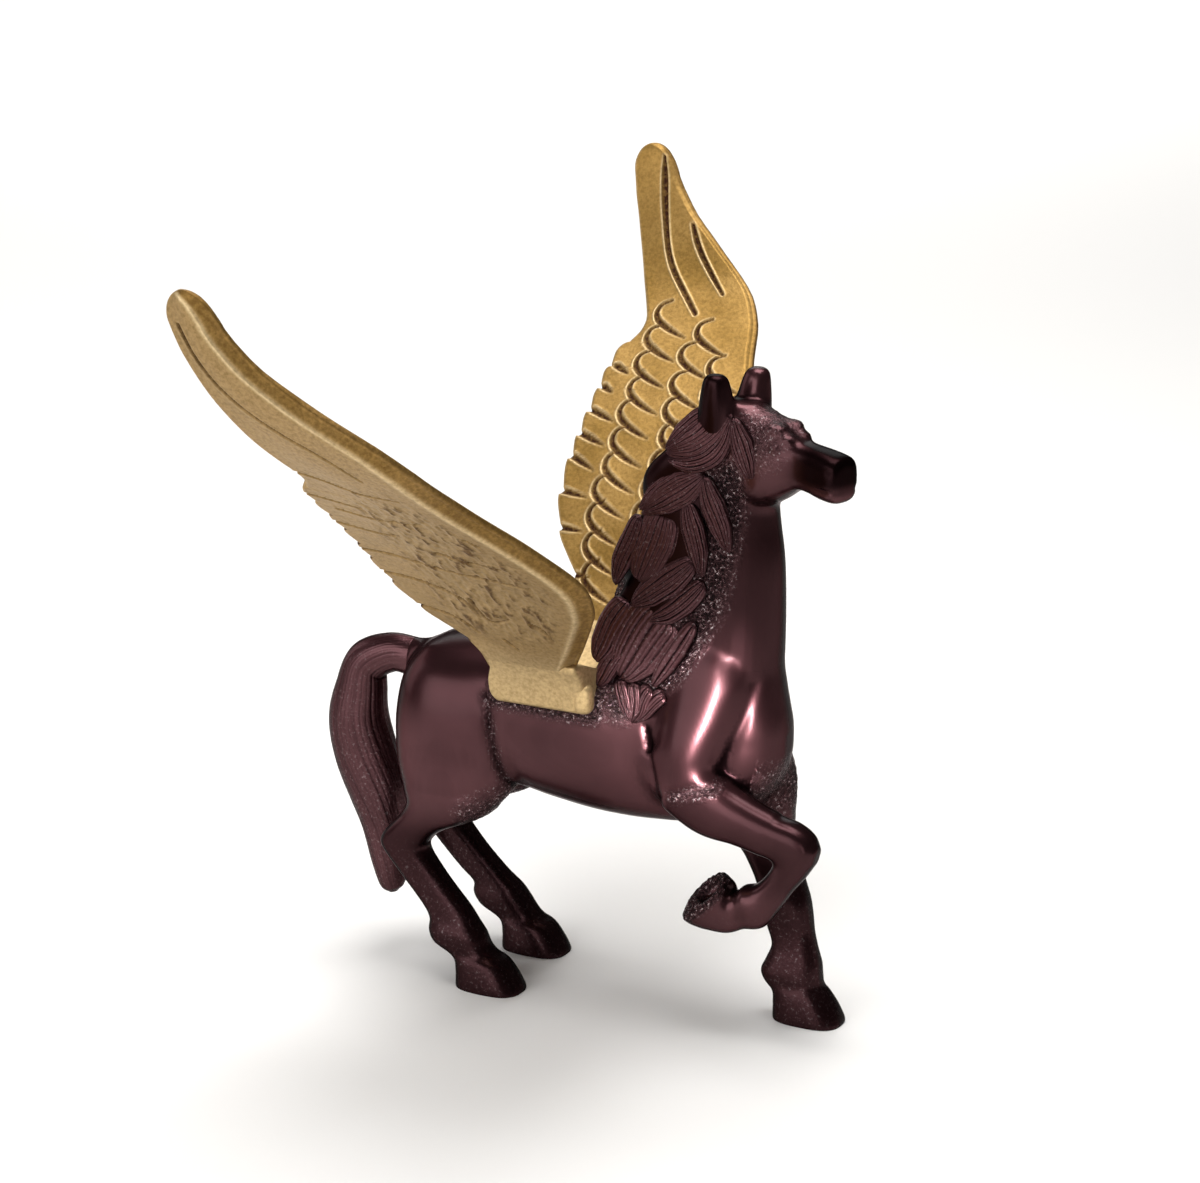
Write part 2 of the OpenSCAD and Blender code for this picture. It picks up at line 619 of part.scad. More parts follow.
// Rows of small feathers: shares of the wing's length where a row starts and ends, its number of feathers,
// and its line as shares of the length with distances from the root's middle
feather_rows = [
    [0.087, 0.654, feather_count,
     [[0.09, -11.5], [0.2, -16], [0.31, -17], [0.42, -19], [0.53, -20.5], [0.65, -21.5]]],
    [0.107, 0.621, feather_count - 1,
     [[0.11, -1.5], [0.27, -3.5], [0.38, -4], [0.5, -8], [0.56, -9], [0.62, -7.5]]],
    [0.138, 0.54, feather_count - 3, [[0.14, 7], [0.25, 9], [0.36, 6.5], [0.42, 4.5], [0.54, 0.5]]]
];
feather_growth = 1.05;
// Lines are points of distance along the wing, distance across it and share of the line's full section.
// One feather's line, from beside its round tip to the end of its straight cut:
hook = [
    [4.7, 3.1, 0.45], [2.6, 0.4, 0.65], [-0.6, 0.4, 0.85], [-3.4, 2.9, 1], [-5.8, 6.8, 0.8],
    [-7.9, 11.3, 0.25]
];
// Cut from a notch into the plate, and worn line under the wing
notch_line = [[0.4, -1.5, 1.1], [-1.2, 4, 0.9], [-3, 8, 0.3]];
worn_line = [[0, -1, 1], [-2.5, 10, 0.9], [-4.5, 17, 0.5]];
// Two long grooves of the tip, from the root's middle
long_grooves = [
    [[145, -31, 0.3], [139, -30, 1], [131, -28.5, 1], [121, -26, 0.9], [111, -20.5, 0.85], [98.5, -10, 0.6]],
    [[126.5, -19, 0.5], [121, -16, 0.9], [113, -10.5, 0.8], [106, -4.5, 0.5]]
];
// Line drawn for a wing of drawn_len by drawn_chord, set at a distance s and place x of this wing
drawn_len = 149;
function set_line(line, s, x) = [
    for (q = line) [s + q[0] * wing_len / drawn_len, x + q[1] * wing_chord / drawn_chord, q[2]]
];

// V-shaped cut along a line into the upper face, or into the lower one with face = -1
module engrave(line, face, w, depth) {
    loft([
        for (i = [0 : len(line) - 1])
            let (
                q = line[i],
                t = along(line, i),
                r = q[0] / wing_len,
                skin = face > 0 ? half_t(r) : under(r, q[1]),
                d = depth * q[2],
                wide = face * w / 2 * q[2] * (1 + cut_lift / d)
            )
            [
                on_wing(q[0] + t[1] * wide, q[1] - t[0] * wide, skin + face * cut_lift),
                on_wing(q[0] - t[1] * wide, q[1] + t[0] * wide, skin + face * cut_lift),
                on_wing(q[0], q[1], skin - face * d)
            ]
    ]);
}
cut_lift = 0.3;

module feather_lines() {
    for (row = feather_rows)
        for (j = [0 : row[2] - 1]) {
            r = row[0] + (row[1] - row[0]) * pow(j / (row[2] - 1), feather_growth);
            x = wing_mid_x + lookup(r, row[3]) * wing_chord / drawn_chord;
            engrave(set_line(hook, r * wing_len, x), 1, groove_w, groove_depth);
        }
    for (k = [1 : tip_count - 1]) {
        r = tips_from + k / tip_count * (tips_to - tips_from);
        engrave(set_line(notch_line, r * wing_len, trail_x(r)), 1, groove_w, groove_depth);
    }
    for (g = long_grooves)
        engrave(set_line(g, 0, wing_mid_x), 1, groove_w, groove_depth);
    for (k = [1 : worn_count]) {
        r = tips_from + (k - 0.5) / worn_count * (tips_to - tips_from + 0.04);
        engrave(set_line(worn_line, r * wing_len, trail_x(r)), -1, 2 * worn_depth, worn_depth);
    }
}

// Sets what is drawn along X, the plate's normal and its slope at the left wing's root
module at_wing_root() {
    multmatrix([
        [1, 0, 0, 0],
        [0, slope_normal[0], slope_dir[0], root_mid[0]],
        [0, slope_normal[1], slope_dir[1], root_mid[1]],
        [0, 0, 0, 1]
    ]) children();
}

module wing_pin(d, reach, height) {
    for (x = pin_x)
        translate([x, -reach, -tang_depth / 2])
            rotate([-90, 0, 0]) cylinder(d = d, h = reach + height);
}

module tang(gap) {
    translate([wing_mid_x - tang_len / 2 - gap, -tang_t / 2 - gap, -tang_depth - gap])
        cube([tang_len + 2 * gap, tang_t + 2 * gap, tang_depth + gap + over]);
}

// Spigots and sockets point into the trunk along +Z of each joint
module spigot(d) {
    translate([0, 0, -over]) cylinder(d = d, h = spigot_len + over);
}

module socket(d) {
    translate([0, 0, -over]) cylinder(d = d + 2 * fit, h = spigot_len + fit + over);
}

module at_hind_joint() {
    translate([(hind_back + hind_front) / 2, hind_joint_side, leg_joint_z]) children();
}

module at_fore_joint() {
    translate([(fore_back + fore_front) / 2, fore_joint_side, leg_joint_z]) children();
}

module at_raised_joint() {
    translate([raised_joint_x, -raised_side, raised_joint_z]) rotate([0, forearm_fall - 90, 0]) children();
}

module at_tail_joint() {
    translate([tail_joint_x, 0, tail_root_z]) rotate([0, 90, 0]) children();
}

module at_neck_joint() {
    translate([neck_mid_x, 0, neck_joint_z]) rotate([180, 0, 0]) children();
}

// Room that the saddle takes out of the trunk: all above the round seat, behind the cut-out at the mane
module saddle_seat() {
    difference() {
        translate([-saddle_back - fit, -trunk_w, flap_z - fit])
            cube([saddle_len + 2 * fit, 2 * trunk_w, trunk_w]);
        translate([-saddle_back - over, 0, seat_z])
            rotate([0, 90, 0]) cylinder(r = seat_r, h = saddle_len + 2 * over);
        pommel(pommel_r - fit);
    }
}

module pommel(r) {
    translate([saddle_front - pommel_depth + pommel_r, 0, flap_z - over])
        cylinder(r = r, h = trunk_w + 2 * over);
}

module body() {
    color(patina) place() difference() {
        casting() {
            loft(trunk_rings());
            both_sides() loft(thigh_rings());
            loft(shoulder_rings());
            both_sides() loft(blade_rings());
            loft(path_rings(raised_shoulder_path(), -raised_side, to = raised_dir));
            loft(withers_rings());
            loft(path_rings(tail_head_path(), 0, to = tail_dir));
        }
        saddle_seat();
        both_sides() at_hind_joint() socket(hind_spigot_d);
        at_fore_joint() socket(fore_spigot_d);
        at_raised_joint() socket(fore_spigot_d);
        at_tail_joint() socket(tail_spigot_d);
        at_neck_joint() socket(neck_spigot_d);
        for (x = screw_x)
            translate([x, 0, saddle_top - saddle_t - screw_len - fit])
                cylinder(d = screw_d + 2 * fit, h = screw_len + saddle_t);
    }
}

module neck_and_head() {
    color(patina) place() union() {
        casting() {
            loft([for (s = neck_lines) neck_ring(s)]);
            loft(head_rings());
            for (side = [-1, 1]) loft(ear_rings(side));
            for (k = locks) loft(lock_rings(k[0], k[1]));
        }
        at_neck_joint() spigot(neck_spigot_d);
    }
}

module right_foreleg() {
    color(patina) place() union() {
        casting() {
            loft(path_rings(forearm_path(), -raised_side, from = raised_dir));
            loft(path_rings(raised_cannon_path(), -raised_side));
        }
        at_raised_joint() spigot(fore_spigot_d);
    }
}

module left_foreleg() {
    color(patina) place() union() {
        casting() loft(fore_leg_rings());
        at_fore_joint() spigot(fore_spigot_d);
    }
}

module hind_leg(lag) {
    union() {
        casting() loft(hind_leg_rings(lag));
        at_hind_joint() spigot(hind_spigot_d);
    }
}

module right_hind_leg() {
    color(patina) place() mirror([0, 1, 0]) hind_leg(0);
}

module left_hind_leg() {
    color(patina) place() hind_leg(left_hock_lag);
}

module tail() {
    color(patina) place() union() {
        casting() loft(path_rings(tail_path(), 0, from = tail_dir));
        at_tail_joint() spigot(tail_spigot_d);
    }
}

// Outline of the saddle across the horse
module saddle_outline() {
    difference() {
        union() {
            translate([0, seat_z]) circle(r = seat_r + saddle_t);
            for (side = [0, 1]) mirror([side, 0]) polygon([
                [0, seat_z], [seat_r, flap_z], [seat_r + saddle_t - 0.3, flap_z],
                shoulder_out, shoulder_in, shoulder_in - slope_dir * 2 * tang_depth
            ]);
        }
        translate([0, seat_z]) circle(r = seat_r + fit);
        translate([-trunk_w, flap_z - 2 * trunk_w]) square(2 * trunk_w);
    }
}

// Roll at the front edge of the left flap
module flap_roll() {
    translate([saddle_front - 1, shoulder_out[0] - 2, flap_z + roll_d / 2 + 0.5]) rotate([-10, 0, 0]) {
        sphere(d = roll_d);
        cylinder(d = roll_d, h = roll_h);
        translate([0, 0, roll_h]) sphere(d = roll_d);
    }
}

module saddle() {
    color(brass) place() difference() {
        union() {
            translate([-saddle_back, 0, 0])
                rotate([90, 0, 90]) linear_extrude(saddle_len) saddle_outline();
            both_sides() flap_roll();
        }
        pommel(pommel_r);
        both_sides() at_wing_root() {
            tang(fit);
            wing_pin(pin_d + 2 * fit, pin_reach + fit, shoulder_t);
        }
        for (x = screw_x) translate([x, 0, saddle_top - screw_head_h]) {
            translate([0, 0, -saddle_t]) cylinder(d = screw_d + 2 * fit, h = 2 * saddle_t);
            translate([0, 0, -fit]) cylinder(d = screw_head_d + 2 * fit, h = 2 * saddle_t);
        }
    }
}

module wing() {
    difference() {
        union() {
            casting() difference() {
                loft([for (r = wing_shares) wing_ring(r)]);
                feather_lines();
            }
            at_wing_root() tang(0);
        }
        at_wing_root() wing_pin(pin_d + 2 * fit, wing_t, wing_t);
    }
}

module right_wing() {
    color(brass) place() mirror([0, 1, 0]) wing();
}

module left_wing() {
    color(brass) place() wing();
}

module wing_pins() {
    color(brass) place() both_sides() at_wing_root() wing_pin(pin_d, pin_reach, shoulder_t / 2 + pin_head);
}

module saddle_screws() {
    color(brass) place() for (x = screw_x) translate([x, 0, saddle_top - screw_head_h]) {
        cylinder(d = screw_head_d, h = screw_head_h);
        translate([0, 0, screw_head_h - saddle_t - screw_len])
            cylinder(d = screw_d, h = screw_len + saddle_t - screw_head_h);
    }
}

body();
neck_and_head();
right_foreleg();
left_foreleg();
right_hind_leg();
left_hind_leg();
tail();
saddle();
right_wing();
left_wing();
wing_pins();
saddle_screws();
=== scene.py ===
# %% [markdown]
# # A winged horse ornament
# The real object is a small desk ornament: a horse cast in brass and stained dark plum-brown, with a saddle
# and a pair of wings in bare satin brass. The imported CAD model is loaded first, as a fixed frame. Each casting
# is then worked out with numpy, finer than the CAD solid that it stands for, and placed in the same frame.

# %% Load the frame
import json
import math

import bmesh
import bpy
import numpy as np
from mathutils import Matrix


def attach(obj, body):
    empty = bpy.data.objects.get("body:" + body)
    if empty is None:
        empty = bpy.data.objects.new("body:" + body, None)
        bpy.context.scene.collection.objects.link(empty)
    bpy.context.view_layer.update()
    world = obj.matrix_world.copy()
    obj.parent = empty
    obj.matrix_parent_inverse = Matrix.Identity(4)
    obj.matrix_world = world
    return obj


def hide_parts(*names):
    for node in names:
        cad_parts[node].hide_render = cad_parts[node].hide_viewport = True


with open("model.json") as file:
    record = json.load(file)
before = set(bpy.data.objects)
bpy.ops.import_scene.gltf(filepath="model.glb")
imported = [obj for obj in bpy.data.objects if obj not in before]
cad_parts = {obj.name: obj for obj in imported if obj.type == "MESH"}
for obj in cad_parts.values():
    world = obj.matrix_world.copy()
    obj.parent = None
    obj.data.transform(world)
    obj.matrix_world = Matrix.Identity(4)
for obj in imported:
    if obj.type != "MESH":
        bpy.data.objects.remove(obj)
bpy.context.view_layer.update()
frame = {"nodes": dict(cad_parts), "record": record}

import openvdb
from mathutils import Vector

print("nodes:", sorted(frame["nodes"]))

# %% [markdown]
# ## Millimetres and the girth line
# The castings are drawn in millimetres, with lengths along the horse measured from its girth line, as the
# solids are. The frame's origin lies a little behind that line, so one function moves a drawing into the
# frame and turns it to metres.

# %% Drawing to frame
GIRTH_X = 4.41
MM = 0.001


def to_frame(points):
    """Points drawn in mm from the girth line, as metres in the frame."""
    return (np.asarray(points, float) + [GIRTH_X, 0, 0]) * MM


def rise(x, a, b):
    """Smooth step: 0 before a, 1 after b, and 3t^2 - 2t^3 between them."""
    t = np.clip((x - a) / (b - a), 0, 1)
    return t * t * (3 - 2 * t)


# %% [markdown]
# ## Camera
# The picture was taken from the horse's right and ahead, a little above the saddle, with a long lens. The
# camera's place comes from its turn, its rise and its distance from a point at the horse's chest height.

# %% Camera
TURN, LIFT, DISTANCE = math.radians(27.3), math.radians(16.6), 0.827
LENS_MM, SENSOR_MM = 99, 36
LOOK_AT = Vector((0.0044, 0, 0.1065))
back = Vector((math.sin(TURN) * math.cos(LIFT), -math.cos(TURN) * math.cos(LIFT), math.sin(LIFT)))
lens = bpy.data.cameras.new("long_lens")
lens.lens = LENS_MM
lens.sensor_width = SENSOR_MM
lens.sensor_fit = "HORIZONTAL"
camera = bpy.data.objects.new("camera", lens)
camera.location = LOOK_AT + back * DISTANCE
camera.rotation_euler = back.to_track_quat("Z", "Y").to_euler()
bpy.context.scene.collection.objects.link(camera)
bpy.context.scene.camera = camera
bpy.context.scene.view_settings.view_transform = "Standard"
print("camera at", [round(v, 3) for v in camera.location])

# %% [markdown]
# ## Studio
# A plain pale sheet carries the ornament. A large dim softbox stands at the front left, one hangs above, a small
# one stands off the tail, and a strong one far behind lights only the sheet. The room beyond is dim, so the dark
# castings turn almost black where they face away from the softboxes. Six small spots with narrow beams, one above
# another beside the camera, draw the bright line down the shoulder. One large lamp there would light the neck too.

# %% Floor and lights
FLOOR_HALF = 6.0
ROOM_TINT, ROOM_STRENGTH = (1, 0.99, 0.98, 1), 0.08
SOFTBOXES = [
    # name, watts, place, the point that it faces, width and height
    ("softbox_front", 8, (-0.32, -1.0, 0.36), (0, 0, 0.08), 1.3, 0.66),
    ("softbox_above", 11, (0, 0.1, 1), (0, 0.1, 0), 0.7, 0.7),
    ("softbox_behind", 34, (-1.0, 2.0, 1.2), (-1.0, 2.1, 0), 1.4, 2.2),
    ("softbox_left", 2.2, (-1.0, 0, 0.35), (0, 0, 0.08), 0.6, 0.6),
]
SHOULDER = Vector((0.0415, -0.02, 0.076))
SPOT_WATTS, SPOT_DEGREES, SPOT_RADIUS = 34, 2.8, 0.015
SPOT_AHEAD, SPOT_ASIDE = 0.475, -0.82
SPOT_HEIGHTS = np.linspace(-0.02, 0.22, 6)


def linear(text):
    """A colour written as sRGB hex, turned to the linear values that shaders use."""
    srgb = np.array([int(text[i:i + 2], 16) for i in (1, 3, 5)]) / 255
    return (*np.where(srgb <= 0.04045, srgb / 12.92, ((srgb + 0.055) / 1.055) ** 2.4), 1.0)


def add(tree, kind, inputs=None, output=0, **settings):
    """Adds one shader node. An input takes a number or colour, or a link from another node's socket."""
    node = tree.nodes.new("ShaderNode" + kind)
    for name, value in settings.items():
        setattr(node, name, value)
    for name, value in (inputs or {}).items():
        if isinstance(value, bpy.types.NodeSocket):
            tree.links.new(value, node.inputs[name])
        else:
            node.inputs[name].default_value = value
    return node.outputs[output]


def new_material(name):
    """A material with no nodes yet, and its node tree."""
    material = bpy.data.materials.new(name)
    material.use_nodes = True
    material.node_tree.nodes.clear()
    return material, material.node_tree


def principled(tree, inputs):
    """Closes a material with one principled shader."""
    surface = tree.nodes.new("ShaderNodeOutputMaterial").inputs["Surface"]
    tree.links.new(add(tree, "BsdfPrincipled", inputs), surface)


def new_mesh(name, points, faces):
    """A mesh from points and rows of corner numbers."""
    mesh = bpy.data.meshes.new(name)
    mesh.from_pydata(np.asarray(points).tolist(), [], faces)
    return mesh


def new_object(name, mesh, material):
    """An object at the origin with one material."""
    mesh.materials.append(material)
    thing = bpy.data.objects.new(name, mesh)
    bpy.context.scene.collection.objects.link(thing)
    return thing


def lamp(name, kind, power, place, aim, **settings):
    """A lamp at a place, turned to face a point."""
    data = bpy.data.lights.new(name, kind)
    data.energy = power
    for key, value in settings.items():
        setattr(data, key, value)
    thing = bpy.data.objects.new(name, data)
    thing.location = place
    thing.rotation_euler = (Vector(place) - Vector(aim)).to_track_quat("Z", "Y").to_euler()
    bpy.context.scene.collection.objects.link(thing)


paper, tree = new_material("pale_paper_sheet")
principled(tree, {"Base Color": linear("#f4f2ef"), "Roughness": 0.9})
corners = [(FLOOR_HALF * x, FLOOR_HALF * y, 0) for x, y in ((-1, -1), (1, -1), (1, 1), (-1, 1))]
floor = new_object("floor", new_mesh("floor", corners, [(0, 1, 2, 3)]), paper)

room = bpy.data.worlds.new("dim_room")
room.use_nodes = True
room.node_tree.nodes["Background"].inputs["Color"].default_value = ROOM_TINT
room.node_tree.nodes["Background"].inputs["Strength"].default_value = ROOM_STRENGTH
bpy.context.scene.world = room
for name, watts, place, aim, wide, tall in SOFTBOXES:
    lamp(name, "AREA", watts, place, aim, shape="RECTANGLE", size=wide, size_y=tall)
for level, height in enumerate(SPOT_HEIGHTS):
    lamp(f"spot_{level}", "SPOT", SPOT_WATTS, SHOULDER + Vector((SPOT_AHEAD, SPOT_ASIDE, height)), SHOULDER,
         spot_size=math.radians(SPOT_DEGREES), spot_blend=0.7, shadow_soft_size=SPOT_RADIUS)

# %% [markdown]
# ## Satin cast brass
# The wings and saddle are sand-cast brass, filed and wire-brushed, with the engraved lines left dark. To the
# eye that is a warm yellow with no sharp reflections, a fine grain, paler edges where hands polish it, a dull
# beige under the wings, and red-brown dirt in the cuts. A painted highlight is added as a pale line along the
# ridge of the wings' bevel and beside the cuts. Three attributes that the pieces carry say where: the cuts are
# "engraved", the dull face is "rubbed", and a third marks the polished edges together with the painted highlights.

# %% Brass material
GRAIN_MM, MOTTLE_MM, PIT_MM = 0.5, 9.0, 1.6
BRASS_BUMP_MM, GRAIN_SHARE = 0.5, 0.35
FLECK_DARK, FLECK_LIGHT = (0.72, 0.68, 0.6, 1), (1.08, 1.06, 1.04, 1)


def noise(tree, size_mm, detail, roughness=0.5):
    """Noise of a real size, fixed to the object."""
    place = add(tree, "TexCoord", output="Object")
    return add(tree, "TexNoise", {"Scale": 1 / (size_mm * MM), "Detail": detail, "Roughness": roughness,
                                  "Vector": place})


def mark(tree, name):
    """A number that each point of the piece carries."""
    return add(tree, "Attribute", output="Fac", attribute_name=name)


def ramp(tree, factor, *stops):
    """Colours blended along a factor, from pairs of a position and a colour."""
    blend = add(tree, "ValToRGB", {"Fac": factor})
    elements = blend.node.color_ramp.elements
    for i, (position, colour) in enumerate(stops):
        stop = elements[i] if i < 2 else elements.new(position)
        stop.position, stop.color = position, colour
    return blend


def mix(tree, factor, under, over, **settings):
    """One colour over another by a factor."""
    return add(tree, "MixRGB", {"Fac": factor, "Color1": under, "Color2": over}, **settings)


def sums(tree, operation, a, b):
    """A sum, product or maximum of two numbers."""
    return add(tree, "Math", {0: a, 1: b}, operation=operation)


def remap(tree, value, low, high, to_low, to_high):
    """A number moved from one range to another."""
    return add(tree, "MapRange", {"Value": value, "From Min": low, "From Max": high, "To Min": to_low,
                                  "To Max": to_high})


brass, tree = new_material("satin_cast_brass")
cut, rubbed, polish_and_painted_highlight = mark(tree, "engraved"), mark(tree, "rubbed"), mark(tree, "polish_and_painted_highlight")
grain = noise(tree, 2 * GRAIN_MM, 4.0, 0.6)
mottle = noise(tree, 2 * MOTTLE_MM, 3.0, 0.55)
pits = noise(tree, 2 * PIT_MM, 5.0, 0.65)
tones = ramp(tree, mottle, (0.35, linear("#8c6d36")), (0.7, linear("#a4834b")))
dull = mix(tree, rubbed, tones, linear("#9e855d"))
# Pale on polished edges, and as a painted highlight along the bevel's ridge and beside the cuts.
pale = mix(tree, polish_and_painted_highlight, dull, linear("#dcc69c"))
flecks = ramp(tree, grain, (0.3, FLECK_DARK), (0.62, FLECK_LIGHT))
speckled = mix(tree, 1.0, pale, flecks, blend_type="MULTIPLY")
pitted = sums(tree, "MULTIPLY", remap(tree, pits, 0.42, 0.3, 0.0, 0.15), rubbed)
dirty = sums(tree, "MAXIMUM", cut, pitted)
dirt = ramp(tree, grain, (0.45, linear("#3b1f14")), (0.72, linear("#8a6a3c")))
relief = sums(tree, "ADD", sums(tree, "MULTIPLY", grain, GRAIN_SHARE), sums(tree, "MULTIPLY", pits, rubbed))
bump = add(tree, "Bump", {"Strength": 0.5, "Distance": BRASS_BUMP_MM * MM, "Height": relief})
principled(tree, {"Base Color": mix(tree, dirty, speckled, dirt),
                  "Roughness": remap(tree, dirty, 0.0, 1.0, 0.5, 0.75),
                  "Metallic": 0.7, "Specular IOR Level": 0.2, "Normal": bump})
print("material:", brass.name)

# %% [markdown]
# ## Plum-brown patina
# The horse is the same cast brass under a dark stain and wax. To the eye it is a deep plum-brown with a satin
# gloss: broad soft lights on the smooth barrel, near black where it turns away and in the hollows, and a stipple
# where the mould was left rough. The stain is thin and the metal shines through it, so it is mixed as a dark
# coloured metal under a thin coat of wax, which is wiped out of the hollows and off the painted shade. One
# attribute says where the stipple lies. Another darkens the colour towards black: patina left in the hollows, and
# painted shade on the nose, the front of the neck, the raised forearm and the top of the croup. The grit itself is
# in the mesh; in the colour, bright specks go with it as painted glints, with black specks between them.

# %% Patina material
# The real grains are about 0.4 mm. They are drawn twice as coarse, so that they show in the picture.
STIPPLE_MM = 0.8
CLOUD_MM, FINE_MM, PATINA_BUMP_MM = 14.0, 0.4, 1.1
FINE_SHARE, WAX, WAX_ON_GRIT = 0.008, 0.2, 0.1
patina, tree = new_material("plum_brown_patina_on_cast_brass")
stipple, hollow = mark(tree, "stipple"), mark(tree, "hollow")
cloud = noise(tree, 2 * CLOUD_MM, 3.0)
dots = noise(tree, STIPPLE_MM, 3.0, 0.7)
fine = noise(tree, FINE_MM, 2.0)
stain = ramp(tree, cloud, (0.3, linear("#45292c")), (0.7, linear("#553538")))
# Near black where patina stays in the hollows, and as painted shade.
shade = mix(tree, hollow, stain, linear("#0d0506"))
# In the stipple, bright specks are painted glints of the grains, with black specks between them.
painted_glints_and_dark_specks = ramp(tree, dots, (0.4, linear("#150808")), (0.54, linear("#432a2d")), (0.6, linear("#6b5052")),
              (0.68, linear("#d9cccd")))
relief = sums(tree, "ADD", sums(tree, "MULTIPLY", dots, stipple), sums(tree, "MULTIPLY", fine, FINE_SHARE))
bump = add(tree, "Bump", {"Strength": 0.9, "Distance": PATINA_BUMP_MM * MM, "Height": relief})
wax = sums(tree, "ADD", remap(tree, hollow, 0.0, 1.0, WAX, 0.0), sums(tree, "MULTIPLY", stipple, WAX_ON_GRIT))
principled(tree, {"Base Color": mix(tree, stipple, shade, painted_glints_and_dark_specks),
                  "Roughness": remap(tree, stipple, 0.0, 1.0, 0.3, 0.24),
                  "Metallic": 0.85, "Specular IOR Level": 0.12, "Specular Tint": linear("#7a6264"),
                  "Coat Weight": wax, "Coat Roughness": 0.18, "Coat Normal": bump, "Normal": bump})
print("material:", patina.name)

# %% [markdown]
# ## Finish of the CAD nodes
# The pins and screws are plain turned brass, so their CAD nodes stay in view. Every node takes the finish that the
# record names for it.

# %% CAD nodes take the two finishes
finish_of = {"patinated_brass": patina, "satin_brass": brass}
for part in frame["record"]["subparts"]:
    node = frame["nodes"][part["node"]]
    node.data.materials.clear()
    node.data.materials.append(finish_of[part["material_slot"]])

# %% [markdown]
# ## Wing plates
# Each wing is one thick cast plate. It leaves the saddle at about 48 degrees, flattens a little half way out
# and turns up towards the tip. A flat sheet could be bent with a modifier, but the bend, the outline and the
# cuts all follow the distance along the plate, so the wing is worked out as a function of two parameters: s
# runs from the saddle to the tip, and a second one runs once round the plate's section.

# %% Bend and outline of a wing
WING_LEN, WING_T, TIP_ROUND = 149.0, 4.5, 8.0
ROOT_SLOPE, MIDDLE_SLOPE, TIP_SLOPE = 48.0, 37.0, 82.0
ROOT_Y, ROOT_Z = 19.9, 90.4
ROOT_BACK, ROOT_FRONT = -20.5, 5.5
LEAD = [(0, -2.5), (0.05, 1.2), (0.08, 4), (0.14, 8.8), (0.21, 14.2), (0.28, 16), (0.33, 14), (0.38, 10.5),
        (0.44, 6.5), (0.51, 2), (0.58, -1.5), (0.66, -4.5), (0.72, -9), (0.76, -14.5), (0.8, -21), (0.84, -27),
        (0.87, -32), (0.94, -39.5), (1, -42)]
TRAIL = [(0, 1), (0.05, 1), (0.08, 0), (0.12, -4), (0.17, -9.3), (0.23, -12.3), (0.3, -13.8), (0.4, -14.2),
         (0.5, -14.5), (0.56, -14), (0.585, -12.5), (0.61, -10.8), (0.64, -10.8), (0.66, -12), (0.73, -16.5),
         (0.82, -21.5), (0.9, -25.5), (0.96, -27.5), (1, -28)]
NOTCHES = np.array([5, 13, 25.5, 36.5, 47.5, 54.5, 62, 70, 77.5, 86.5])
FLATTEN_FROM, FLATTEN_TO, TURN_UP_FROM = 0.14, 0.54, 0.62
FEATHER_TIP = 1.9


def slope_at(s):
    """Slope of the plate in degrees: from the root's to the middle's on a smooth step, then up to the tip's."""
    r = s / WING_LEN
    flatten = rise(r, FLATTEN_FROM, FLATTEN_TO)
    turn_up = np.maximum(0, (r - TURN_UP_FROM) / (1 - TURN_UP_FROM)) ** 1.1
    return ROOT_SLOPE + (MIDDLE_SLOPE - ROOT_SLOPE) * flatten + (TIP_SLOPE - MIDDLE_SLOPE) * turn_up


def soft(r, line, reach):
    """Height of a line of points at r, with its corners softened over a reach."""
    x, y = np.array(line, float).T
    return (np.interp(r - reach, x, y) + 2 * np.interp(r, x, y) + np.interp(r + reach, x, y)) / 4


def feather_tips(s):
    """Outline of the feather tips: each grows from one notch and rounds off sharply at the next one."""
    k = np.clip(np.searchsorted(NOTCHES, s) - 1, 0, len(NOTCHES) - 2)
    f = np.clip((s - NOTCHES[k]) / (NOTCHES[k + 1] - NOTCHES[k]), 0, 1)
    return FEATHER_TIP * f ** 0.7 * np.sqrt(1 - f ** 5) * rise(s, 6, 16)


def wing_edges(s):
    """Places of the trailing and leading edges at distance s, rounded to a point over the tip."""
    r = s / WING_LEN
    trail = ROOT_BACK + soft(r, TRAIL, 0.01) - feather_tips(s)
    lead = ROOT_FRONT + soft(r, LEAD, 0.02)
    end = np.sqrt(1 - np.clip((s - WING_LEN + TIP_ROUND) / TIP_ROUND, 0, 1) ** 2)
    middle = (trail + lead) / 2
    return middle + (trail - middle) * end, middle + (lead - middle) * end


arc = np.linspace(0, WING_LEN, 3001)
arc_slope = np.radians(slope_at((arc[1:] + arc[:-1]) / 2))
arc_y = ROOT_Y + np.concatenate([[0], np.cumsum(np.cos(arc_slope))]) * arc[1]
arc_z = ROOT_Z + np.concatenate([[0], np.cumsum(np.sin(arc_slope))]) * arc[1]
print("wing tip at", round(arc_y[-1], 1), round(arc_z[-1], 1))

# %% [markdown]
# ## Engraved feathers
# The upper face is engraved. Short feathers lie in rows, each cut as a hook: a thin arc over the feather's
# round tip that swings into a deep straight cut. The trailing edge has notches between its feathers, and the
# tip has two long grooves. The lower face has only worn lines. A bump would not show in the outline or in the
# exported mesh, so every line is carved into the surface: each point of the face finds its distance from the
# line, and sinks by a rounded profile within the line's half width.

